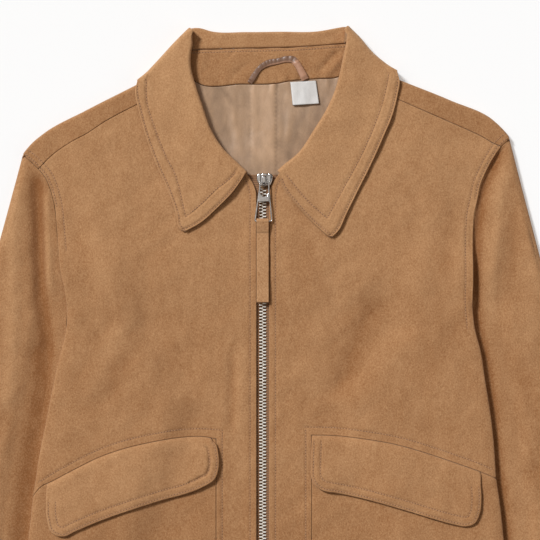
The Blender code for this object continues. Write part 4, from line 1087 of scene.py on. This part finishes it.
# Outlines as (x, y) from the hinge: the slider's plate, and the pull with its two windows.
SHIELD = ((-7.1, 7.0), (-5.1, 8.4), (6.1, 8.4), (8.1, 7.0), (7.9, 2.2), (5.3, -3.0),
          (-4.3, -3.0), (-6.9, 2.2))
PULL_FRAME = ((-4.9, 0.75), (4.9, 0.75), (5.0, -4.2), (7.7, -34.9), (6.9, -36.65),
              (-8.5, -36.65), (-9.3, -34.9), (-4.9, -5.0))
PULL_UPPER = ((-3.9, -9.6), (-2.3, -12.2), (0, -13.2), (2.3, -12.2), (3.7, -9.6), (3.5, -0.75),
              (-3.5, -0.75))
PULL_LOWER = ((-7.9, -35.15), (6.3, -35.15), (4.8, -18.0), (-5.5, -18.0))
BRIDGE_PATH = ((6.5, -0.4), (6.4, 1.4), (5.2, 2.8), (2.5, 3.1), (-0.4, 3.0), (-1.6, 2.2),
               (-1.9, -0.4))


def zip_height(y):
    return lift(np.full(np.shape(y), ZIP_X), np.asarray(y, float))


def build_tape(side):
    start = ZIP_X + side.sign * (CHAIN_WIDTH / 2 - 0.4)
    end = start + side.sign * TAPE_WIDTH
    corners = [(start, ZIP_TOP_Y), (end, ZIP_TOP_Y), (end, TAPE_END_Y), (start, TAPE_END_Y)]
    lines = [curve((a, b), 3.0) for a, b in zip(corners, corners[1:] + corners[:1])]
    base = CHAIN_LOW + TRIM_WALL * 1.5
    return cloth_piece(join_lines(*lines), lambda flat: (lift(*flat.T) + base, 0), wall=0.8,
                       roll=0.4)


def repeated(points, faces):
    """One array from the points of many small shapes alike and the faces of one."""
    index = faces + (np.arange(len(points)) * points.shape[1])[:, None, None]
    return points.reshape(-1, 3), index.reshape(-1, faces.shape[1])


def triangles(quads):
    """Quads as triangles, leaving out those that have no area."""
    both = join(quads[:, [0, 1, 2]], quads[:, [0, 2, 3]])
    return both[np.all(both != np.roll(both, 1, axis=1), axis=1)]


def bevelled_block(half, bevel, levels=4):
    """A block with round edges: rings of a rounded rectangle that draw in towards the top
    and bottom in quarter circles, with a point in the middle of each end."""
    turn = np.radians(np.linspace(-90, 90, levels * 2))[:, None]
    corner = np.radians(np.arange(0, 360, 30) + 15)
    around = points_of(np.cos(corner), np.sin(corner))
    core = np.sign(around) * (np.array(half[:2]) - bevel)
    ring = raised(core + bevel * np.cos(turn)[..., None] * around,
                  np.sign(turn) * (half[2] - bevel) + bevel * np.sin(turn))
    rows, sides = ring.shape[:2]
    low, high = rows * sides, rows * sides + 1
    here = np.arange(sides)
    ahead, top = np.roll(here, -1), (rows - 1) * sides
    ends = join(points_of(ahead, here, low, low), points_of(here + top, ahead + top, high, high))
    points = join(ring.reshape(-1, 3), [(0, 0, -half[2]), (0, 0, half[2])])
    return points, triangles(join(ring_quads(rows, sides), ends))


def build_chain():
    """Two rows of teeth, half a pitch apart, each reaching a little past the middle."""
    y = np.arange(CHAIN_TOP_Y - 1.0, CHAIN_END_Y + 1.0, -TOOTH_PITCH)
    tooth, faces = bevelled_block((1.85, 0.72, 1.25), 0.42, 2)
    places = [points_of(ZIP_X + sign * 1.5, rows, zip_height(rows) + CHAIN_LOW + 1.7)
              for sign, rows in ((-1, y), (1, y - TOOTH_PITCH / 2))]
    return make_object(*repeated(tooth + join(*places)[:, None], faces))


def build_stop():
    points, faces = bevelled_block((CHAIN_WIDTH / 2, 3.0, 1.7), 0.6)
    y = CHAIN_END_Y - 3.5
    return make_object(points + (ZIP_X, y, CHAIN_LOW + 1.8 + float(zip_height(y))), faces)


def soft_corners(rows, radius, step=0.45):
    """A closed outline whose corners are cut by small curves that keep to its sides."""
    corner = np.array(rows, float)
    a, b = (np.roll(corner, way, axis=0) - corner for way in (1, -1))
    size_a, size_b = (np.linalg.norm(v, axis=1, keepdims=True) for v in (a, b))
    cut = np.minimum(radius, np.minimum(size_a, size_b) * 0.45)
    p, q = corner + a / size_a * cut, corner + b / size_b * cut
    t = np.linspace(0, 1, 5)[:, None]
    bent = (1 - t) ** 2 * p[:, None] + 2 * t * (1 - t) * corner[:, None] + t**2 * q[:, None]
    line = bent.reshape(-1, 2)
    line = join(line, line[:1])
    s = ways(line)
    at = np.linspace(0, s[-1], round(s[-1] / step))[:-1]
    return points_of(*(np.interp(at, s, values) for values in line.T))


def plate(outline, holes, middle, wall, roll, soften):
    """A flat plate with round edges, cut from an outline and its holes."""
    outer, *inner = (soft_corners(rows, soften) for rows in (outline, *holes))
    flat, faces, edge = cut_flat(outer, cell=0.8, holes=inner)
    return shell(raised(flat, middle), UP, faces, edge, wall, roll)[:2]


def tube(path, wide, thick, sides=12):
    """An oval bar along a path of points, closed by a round end at each end."""
    along = unit(np.gradient(path, axis=0))
    across = np.cross(along, (1.0, 0.0, 0.0))
    across[np.linalg.norm(across, axis=1) < 0.2] = UP
    across = unit(across)
    turn = np.linspace(0, 2 * np.pi, sides, endpoint=False)[:, None]
    s = ways(path)
    size = wall_share(np.minimum(s, s[-1] - s), thick / 2)[:, None, None] / 2
    square = lambda v: np.sign(v) * np.abs(v) ** 0.7
    ring = wide * square(np.cos(turn)) * np.cross(along, across)[:, None]
    ring = ring + thick * square(np.sin(turn)) * across[:, None]
    return (path[:, None] + size * ring).reshape(-1, 3), triangles(ring_quads(len(path), sides))


def merged(*parts):
    """One object from several closed shapes of triangles, their faces turned outwards and
    their doubles merged."""
    points, faces, total = [], [], 0
    for some, index in parts:
        a, b, c = (some[index[:, k]] for k in range(3))
        volume = (a * np.cross(b, c)).sum()
        points.append(some)
        faces.append((index if volume > 0 else index[:, ::-1]) + total)
        total += len(some)
    obj = make_object(join(*points), join(*faces))
    mesh = bmesh.new()
    mesh.from_mesh(obj.data)
    bmesh.ops.remove_doubles(mesh, verts=mesh.verts, dist=1e-6)
    bmesh.ops.dissolve_degenerate(mesh, edges=mesh.edges, dist=1e-7)
    mesh.to_mesh(obj.data)
    mesh.free()
    obj.data.shade_smooth()
    return obj


def build_slider():
    """The slider: a shield-shaped plate on a post and a lower plate, a ridge, a bridge over
    the pull's bar, and two short prongs at its lower end."""
    x, y, _ = HINGE
    points, faces = plate(SHIELD, (), PLATE_LOW + PLATE_THICK / 2, PLATE_THICK, 1.0, 1.6)
    crown = 0.9 * np.cos(points[:, 0] / 5.6) - 0.7 * bell(np.abs(points[:, 0] - 0.5) - 3.1, 0.7)
    points[:, 2] += crown * (points[:, 2] > PLATE_LOW + PLATE_THICK / 2)
    parts = [(points, faces), (points * (0.94, 0.9, 1) + (0, 0.2, -4.3), faces)]
    over, rise = curve(BRIDGE_PATH, 0.3).T
    parts.append(tube(points_of(0, over, rise + PLATE_TOP), 3.6, 1.1))
    for half, bevel, place in (
        ((CHAIN_WIDTH / 2 - 0.4, 3.6, 1.9), 0.5, (ZIP_X - x, 2.0, PLATE_LOW - 1.4)),
        ((5.4, 0.55, 0.5), 0.4, (0.5, 7.0, PLATE_TOP + 0.1)),
    ):
        points, faces = bevelled_block(half, bevel)
        parts.append((points + place, faces))
    for sign in (-1, 1):
        rows = np.array(((sign * 3.4, -1.5), (sign * 4.0, -4.0), (sign * 3.3, -7.0))) + (0.3, 0)
        parts.append(tube(raised(curve(rows, 0.4), PLATE_LOW + 0.1), 1.1, 1.2))
    return merged(*((points + (x, y, 0), faces) for points, faces in parts))


def build_pull():
    """The openwork pull: one round-edged plate with two windows, crowned across, on its
    top bar."""
    points, faces = plate(PULL_FRAME, (PULL_UPPER, PULL_LOWER), 0.0, BAR, 0.62, 0.9)
    points[:, 2] -= 0.009 * points[:, 0] ** 2
    return merged((points + HINGE, faces))


STRAP_X = (-6.9, 4.5)
STRAP_END_Y = -205.0
STRAP_PLY = 1.15
STRAP_SEAM_Y = -139.8


def build_strap():
    """The strap: one strip that runs up under the pull's low bar, round it, and back down
    on itself, sewn together just below the bar."""
    ring = BAR / 2 * math.sqrt(2) + LAYER_GAP + STRAP_PLY / 2
    low, high = -ring, -ring + STRAP_PLY + 0.05
    tail = STRAP_END_Y - HINGE[1]
    bend = np.radians(np.arange(-90, 121, 15))
    path = curve(join(
        curve(((tail, low), (PULL_END - 1, low)), 1.0),
        points_of(PULL_END + ring * np.cos(bend), ring * np.sin(bend)),
        curve(((PULL_END - 4.5, ring * 0.55), (PULL_END - 10.5, high + 0.1)), 0.8),
        curve(((PULL_END - 11.5, high), (tail, high)), 1.0),
    ), 0.6)
    ends = np.array((0.87, 0.93, 0.97, 1))
    across = np.r_[-ends[::-1], np.linspace(-0.78, 0.78, 14), ends]
    left, right = STRAP_X
    y, z = path.T[..., None] + np.reshape(HINGE[1:], (2, 1, 1))
    grid = points_of((left + right) / 2 + (right - left) / 2 * across, y, z)
    on_top = (np.arange(len(path)) > len(path) / 2)[:, None]
    seam = bell(y - STRAP_SEAM_Y, 0.7) * on_top
    edge = way_in(grid)
    # Painted shade: darker along the sewn seam's groove.
    return grid_shell(grid[:, ::-1], STRAP_PLY, edge, -0.45 * seam, roll=0.6,
                      worn=0.7 * bell(edge, 1.0), press=1.3 * seam)


# ---------------------------------------------------------------- thread


STITCH = 2.7


def settle(places, obj, above=0.0):
    """The height of an object's upper face at each place: the mean of its four nearest
    points there, the near ones counting for more."""
    vertices = obj.data.vertices
    points, normals = np.empty((2, len(vertices) * 3), np.float32)
    vertices.foreach_get("co", points)
    vertices.foreach_get("normal", normals)
    points = points.reshape(-1, 3).astype(float) / MM - (0, BACK_NECK_Y, 0)
    points = points[(normals.reshape(-1, 3)[:, 2] > 0.3) & (points[:, 2] > above)]
    gap = np.linalg.norm(places[:, None] - points[None, :, :2], axis=2)
    near = np.argpartition(gap, 4, axis=1)[:, :4]
    weight = 1 / (np.take_along_axis(gap, near, 1) ** 2 + 0.01)
    return (points[near, 2] * weight).sum(axis=1) / weight.sum(axis=1)


def stitch_frames(runs):
    """Places half a stitch apart along lines that lie on pieces, with the directions along
    the line, to its left and up from the cloth: first those of the stitches, then those of
    the needle holes between them."""
    stitches, holes = [], []
    for line, carrier, above in runs:
        steps = 2 * max(2, round(ways(line)[-1] / STITCH)) + 1
        flat = curve(line, at=np.linspace(0, 1, steps))
        path = raised(flat, settle(flat, carrier, above))
        along = unit(np.gradient(path, axis=0))
        left = unit(along[:, [1, 0, 2]] * (-1, 1, 0))
        frames = np.stack([path, along, left, np.cross(along, left)], axis=1)
        stitches.append(frames[1::2])
        holes.append(frames[::2])
    return join(*stitches), join(*holes)


def planted(frames, ring, rise):
    """One small closed shape, a run of six-sided rings with flat ends, set down at every
    frame."""
    rows, sides = ring.shape[:2]
    ends = np.array([[0, 5, 4, 3], [0, 3, 2, 1]])
    faces = join(ring_quads(rows, sides), ends, ends[:, ::-1] + (rows - 1) * sides)
    offset = np.einsum("pk,nkd->npd", ring.reshape(-1, 3) + (0, 0, rise), frames[:, 1:])
    return make_object(*repeated(frames[:, :1] + offset, faces))


def sew(runs):
    """Rows of stitches: short round threads whose ends bend down into the cloth, and between
    them small dark discs at the cloth's face, painted shade for the needle holes."""
    turn = np.radians(np.arange(0, 360, 60))
    t = np.array((-1, -0.86, -0.45, 0, 0.45, 0.86, 1))[:, None]
    thick = np.array((0.25, 0.75, 1, 1, 1, 0.75, 0.25))[:, None] * 0.34
    strand = points_of(t * STITCH * 0.34, thick * np.cos(turn), thick * np.sin(turn) - 0.3 * t**4)
    height, wide = np.array(((0.08, 0.0, -0.3), (0.35, 0.58, 0.35)))[..., None]
    pit = points_of(wide * np.sin(turn), wide * np.cos(turn), height)
    stitches, holes = stitch_frames(runs)
    return planted(stitches, strand, 0.08), planted(holes, pit, 0.02)


# ---------------------------------------------------------------- finishes


class Wire:
    """A socket in a finish. Arithmetic on it adds Math nodes."""

    def __init__(self, finish, socket):
        self.finish, self.socket = finish, socket

    def math(self, operation, *values):
        return self.finish.node("ShaderNodeMath", {"operation": operation},
                                dict(enumerate(values)))

    __add__ = __radd__ = lambda self, other: self.math("ADD", self, other)
    __mul__ = __rmul__ = lambda self, other: self.math("MULTIPLY", self, other)
    __sub__ = lambda self, other: self.math("SUBTRACT", self, other)
    __rsub__ = lambda self, other: self.math("SUBTRACT", other, self)


class Finish:
    """A material or world being made. node() adds any node: its settings first, then the
    values or wires of its sockets."""

    def __init__(self, owner):
        self.owner = owner
        owner.use_nodes = True
        self.tree = owner.node_tree
        self.tree.nodes.clear()

    def node(self, kind, settings=(), sockets=(), out=0):
        node = self.tree.nodes.new(kind)
        for key, value in dict(settings).items():
            setattr(node, key, value)
        for key, value in dict(sockets).items():
            if isinstance(value, Wire):
                self.tree.links.new(value.socket, node.inputs[key])
            else:
                node.inputs[key].default_value = value
        return Wire(self, node.outputs[out]) if node.outputs else None

    def place(self, stretch=(1, 1, 1)):
        there = self.node("ShaderNodeTexCoord", out="Object")
        return self.node("ShaderNodeMapping", {}, {"Vector": there, "Scale": stretch})

    def noise(self, size, detail=2.0, stretch=(1, 1, 1), rough=0.5, twist=0.0):
        """Noise whose patches are about so many millimetres across, from 0 to 1."""
        return self.node("ShaderNodeTexNoise", {}, {
            "Vector": self.place(stretch), "Scale": 1 / (size * MM), "Detail": detail,
            "Roughness": rough, "Distortion": twist})

    def stored(self, name):
        return self.node("ShaderNodeAttribute", {"attribute_name": name}, out="Fac")

    def shade(self, share, low, high):
        """A colour between two, at a share that varies. The low one may be a wire."""
        low = low if isinstance(low, Wire) else (*low, 1)
        return self.node("ShaderNodeMix", {"data_type": "RGBA"},
                         {0: share, 6: low, 7: (*high, 1)}, out=2)

    def bump(self, height, depth, **normal):
        """A bump whose height from 0 to 1 stands for so many millimetres."""
        return self.node("ShaderNodeBump", {}, {
            "Height": height, "Distance": depth * MM, "Strength": 1.0, **normal})

    def close(self, **sockets):
        names = {key.replace("_", " "): value for key, value in sockets.items()}
        shader = self.node("ShaderNodeBsdfPrincipled", {}, names)
        self.node("ShaderNodeOutputMaterial", {}, {0: shader})
        return self.owner


def tinted(colour, factors):
    return tuple(channel * factor for channel, factor in zip(colour, factors))


def scaled(colour, factor):
    return tinted(colour, (factor,) * 3)


SUEDE = (0.388, 0.199, 0.0895)


def suede(name="suede_with_painted_shade", colour=SUEDE):
    """Napped suede: a tan that drifts in broad patches, brushed marks where the nap lies
    another way, a short fine fibre, painted shade in hollows, stitch grooves and seams with
    painted highlight on fold ridges, paler along worn edges."""
    f = Finish(bpy.data.materials.new(name))
    broad = f.noise(55, 3.0)
    brushed = f.noise(12, 3.0, (1, 0.6, 1), 0.6, 0.6)
    fibre = f.noise(1.3, 3.0, (1, 0.8, 1), 0.85)
    tone = (broad - 0.5) * 0.26 + (brushed - 0.5) * 0.42 + (fibre - 0.5) * 1.6
    # The stored tone adds each piece's own nap and painted shade in folds, lighter on their
    # ridges; the low colour serves both.
    tone = tone + f.stored("nap") * 0.42 + 0.5
    base = f.shade(tone, tinted(colour, (0.60, 0.46, 0.33)), tinted(colour, (1.40, 1.54, 1.67)))
    base = f.shade(f.stored("worn") * 0.3, base, scaled(colour, 1.35))
    # Painted shade: darker in stitch grooves, along seams and under the collar leaves' lower
    # edges.
    base = f.shade(f.stored("press") * 0.5, base, scaled(colour, 0.5))
    rumple = f.bump(f.noise(7, 2.0, (1, 0.6, 1)), 0.4)
    return f.close(Base_Color=base, Roughness=0.97, Normal=f.bump(fibre, 0.36, Normal=rumple),
                   Specular_IOR_Level=0.12, Sheen_Weight=0.25, Sheen_Roughness=0.55,
                   Sheen_Tint=(1.0, 0.8, 0.6, 1))


def satin(name, colour, size=0.6, gloss=0.42, stretch=(1, 0.35, 1)):
    """Satin: a close smooth weave with a soft lengthwise streak and fine slubs."""
    f = Finish(bpy.data.materials.new(name))
    streak = f.noise(3.0, 2.0, stretch)
    cloud = f.noise(11, 2.0, (1, 0.7, 1), 0.5, 0.8)
    weave = f.noise(size, 2.0, stretch, 0.6)
    tone = (streak - 0.5) * 0.12 + (cloud - 0.5) * 0.4 + (weave - 0.5) * 0.3
    # The stored tone brings painted shade and highlight: the lining's folds and pleat, the loop's
    # ruching.
    tone = tone + f.stored("nap") * 0.5 + 0.5
    return f.close(Base_Color=f.shade(tone, scaled(colour, 0.55), scaled(colour, 1.45)),
                   Roughness=(streak - 0.5) * 0.2 + gloss,
                   Normal=f.bump(streak, 0.14, Normal=f.bump(weave, 0.05)),
                   Specular_IOR_Level=0.45, Sheen_Weight=0.15, Sheen_Roughness=0.35,
                   Anisotropic=0.4)


def woven(name, colour):
    """Zip tape: fine ribs of a close weave."""
    f = Finish(bpy.data.materials.new(name))
    rib = f.node("ShaderNodeTexWave", {"bands_direction": "Y"}, {
        "Vector": f.place(), "Scale": 160.0, "Distortion": 0.4, "Detail": 1.0})
    return f.close(Base_Color=f.shade(rib, scaled(colour, 0.7), scaled(colour, 1.2)),
                   Roughness=0.9, Normal=f.bump(rib, 0.12))


def yarn(name, colour):
    """Sewing thread: a twisted strand."""
    f = Finish(bpy.data.materials.new(name))
    twist = f.noise(0.5, 1.0)
    return f.close(Base_Color=f.shade(twist, scaled(colour, 0.75), scaled(colour, 1.2)),
                   Roughness=0.7, Sheen_Weight=0.3, Normal=f.bump(twist, 0.06))


def metal(name, colour, rough=0.17, share=1.0):
    """Zip metal: small scratches, patches of duller and shinier metal, and a warm brown tint in
    its colour that is a painted reflection of the tan cloth around it.
    """
    f = Finish(bpy.data.materials.new(name))
    dull = f.noise(2.2, 3.0)
    scratch = f.noise(0.5, 2.0, (1, 0.15, 1), 0.6)
    # The warm brown low colour is a painted reflection of the suede.
    return f.close(Base_Color=f.shade(dull, tinted(colour, (0.7, 0.62, 0.5)), scaled(colour, 1.2)),
                   Metallic=share, Roughness=(dull - 0.5) * 0.25 + rough,
                   Normal=f.bump(dull, 0.16, Normal=f.bump(scratch, 0.03)))


# ---------------------------------------------------------------- the whole


def finished(obj, name, finish, body="jacket"):
    """Gives a piece its name, its finish and its place on a body."""
    obj.name = obj.data.name = name
    obj.data.materials.clear()
    obj.data.materials.append(finish)
    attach(obj, body)
    return obj


def fitting(obj, node, finish, body="jacket"):
    """Finishes a worked piece that stands for a node."""
    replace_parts(finished(obj, f"{node}_worked", finish, body), node)
    return obj


def cloth(made, node, finish, body="jacket"):
    obj, size, area = made
    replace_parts(finished(obj, f"{node}_cloth", finish, body), node)
    return obj


def dress_side(side, hide, back):
    """The fronts, flap, sleeve and zip tape of one side. Gives the runs of its thread, each
    with the piece that it lies on and the height that it keeps above."""
    name = side.name
    lines = stitch_lines(side)
    ring = front_outline(side)
    middle = lambda flat: front_middle(side, flat)
    runs = on_strip(side, lines, ring, back)
    front = cloth(cloth_piece(ring, middle, list(lines.values())), f"front_{name}", hide)
    lower = cloth(cloth_piece(lower_front_outline(side), middle, [lines["hem"]]),
                  f"lower_front_{name}", hide)
    rows = flap_stitches(side)
    crescent = lambda flat: sewn(flat, [rows[1][:CRESCENT_ROWS]], CRESCENT_DEPTH[name], 1.3)
    flap = cloth(cloth_piece(flap_outline(side), flap_middle(side), rows, roll=1.4,
                             relief=crescent),
                 f"pocket_flap_{name}", hide)
    cloth(build_sleeve(side), f"sleeve_{name}", hide)
    cloth(build_tape(side), f"zip_tape_{name}", woven(f"tape_weave_{name}", (0.25, 0.125, 0.06)))
    for key in ("zip", "pocket", "panel", "armhole", "shoulder"):
        runs += [(part, front, 0) for part in stretches(lines[key], inside(lines[key], ring))]
    runs += [(row, flap, 0) for row in rows]
    hem = lines["hem"]
    out = np.abs(hem[:, 0])
    return runs + [(hem[out < PANEL_SEAM_OUT - 1], front, 0),
                   (hem[out > PANEL_SEAM_OUT + 1], lower, 0)]


def build_jacket():
    hide = suede()
    tan_thread = yarn("tan_thread", scaled(SUEDE, 1.2))
    # Painted shade: the needle holes are small dark discs at the cloth's face, not openings.
    hole = yarn("needle_hole_painted_shade", (0.185, 0.085, 0.036))
    steel = metal("zip_steel", (0.71, 0.74, 0.8))
    back = cloth(build_back(), "back", hide)
    runs = [run for side in SIDES for run in dress_side(side, hide, back)]
    stand = cloth(build_stand(), "collar_stand", hide)
    runs.append((stand_stitches()[3:-3], stand, 0))
    fall = cloth(build_fall(), "collar_fall", hide)
    runs += [(line, fall, 9.0) for side in SIDES for line in leaf_stitches(side)]
    stitches, holes = sew(runs)
    finished(stitches, "topstitching", tan_thread)
    finished(holes, "topstitching_hole_shade", hole)
    loop = fitting(build_loop()[0], "hanger_loop",
                   satin("loop_satin", (0.3, 0.16, 0.1), gloss=0.4))
    cloth(build_lining(), "lining_back", satin("lining_satin", (0.47, 0.298, 0.182)))
    cloth(build_label(), "size_label", satin("label_satin", (0.62, 0.6, 0.58), 0.4))
    fitting(build_chain(), "zip_chain", metal("zip_teeth", (0.95, 0.94, 0.91), 0.32, 0.42))
    fitting(build_stop(), "zip_bottom_stop", steel)
    fitting(build_slider(), "zip_slider", steel)
    fitting(build_pull(), "zip_pull", steel, body="zip_pull")
    cloth(build_strap(), "zip_pull_strap",
          suede("strap_suede_with_painted_shade", tinted(SUEDE, (1.12, 1.17, 1.24))),
          body="zip_pull")


FLOOR_REACH = 3000.0
FLOOR_Y = -0.4
# Each card: the way to its middle, the cosine of the angle it reaches to, its brightness.
CARDS = (
    ((-0.45, 0.32, 0.83), 0.72, 0.5),
    ((0.8, -0.3, 0.52), 0.93, 0.8),
)


def build_room():
    """A pale floor that glows a little, a key light from the upper left, and a warm room:
    one big bright card behind the key, a narrow one across from it and dim walls."""
    corners = np.array(((-1, -1), (1, -1), (1, 1), (-1, 1))) * FLOOR_REACH
    floor = make_object(raised(corners, FLOOR_Y), np.array([[0, 1, 2, 3]]))
    floor.name = "floor"
    f = Finish(bpy.data.materials.new("pale_floor"))
    floor.data.materials.append(f.close(
        Base_Color=(0.63, 0.63, 0.63, 1), Roughness=0.9, Specular_IOR_Level=0.1,
        Emission_Color=(1, 1, 1, 1), Emission_Strength=0.31))
    sun = bpy.data.lights.new("key", "SUN")
    sun.energy, sun.angle, sun.color = 3.27, math.radians(13), (0.96, 0.995, 1.03)
    key = linked("key", sun)
    key.rotation_euler = Vector((0.52, -0.48, -0.70)).to_track_quat("-Z", "Y").to_euler()
    room = Finish(bpy.data.worlds.new("room"))
    way = room.node("ShaderNodeTexCoord", out="Generated")
    light = 0.072
    for facing, size, strength in CARDS:
        toward = room.node("ShaderNodeVectorMath", {"operation": "DOT_PRODUCT"},
                           {0: way, 1: facing}, out="Value")
        light = room.node("ShaderNodeMapRange", {"interpolation_type": "SMOOTHSTEP"}, {
            "Value": toward, "From Min": size - 0.1, "From Max": size + 0.06, "To Min": 0.0,
            "To Max": strength}) + light
    shader = room.node("ShaderNodeBackground", {}, {"Color": (1, 0.9, 0.8, 1), "Strength": light})
    room.node("ShaderNodeOutputWorld", {}, {0: shader})
    bpy.context.scene.world = room.owner
    bpy.context.scene.view_settings.view_transform = "Standard"


FRAME_WIDTH = 502.2
FRAME_CENTRE = (5.6, 156.1)
CAMERA_HEIGHT = 2000.0
FACE_HEIGHT = 9.0
SENSOR = 36.0


def build_camera():
    """A long lens straight above, with its frame's width set on the jacket's upper face."""
    camera = bpy.data.cameras.new("camera")
    camera.sensor_width = SENSOR
    camera.lens = SENSOR * CAMERA_HEIGHT / FRAME_WIDTH
    camera.clip_end = 20
    holder = linked("camera", camera)
    holder.location = [way * MM for way in (*FRAME_CENTRE, CAMERA_HEIGHT + FACE_HEIGHT)]
    bpy.context.scene.camera = holder


build_jacket()
build_room()
build_camera()
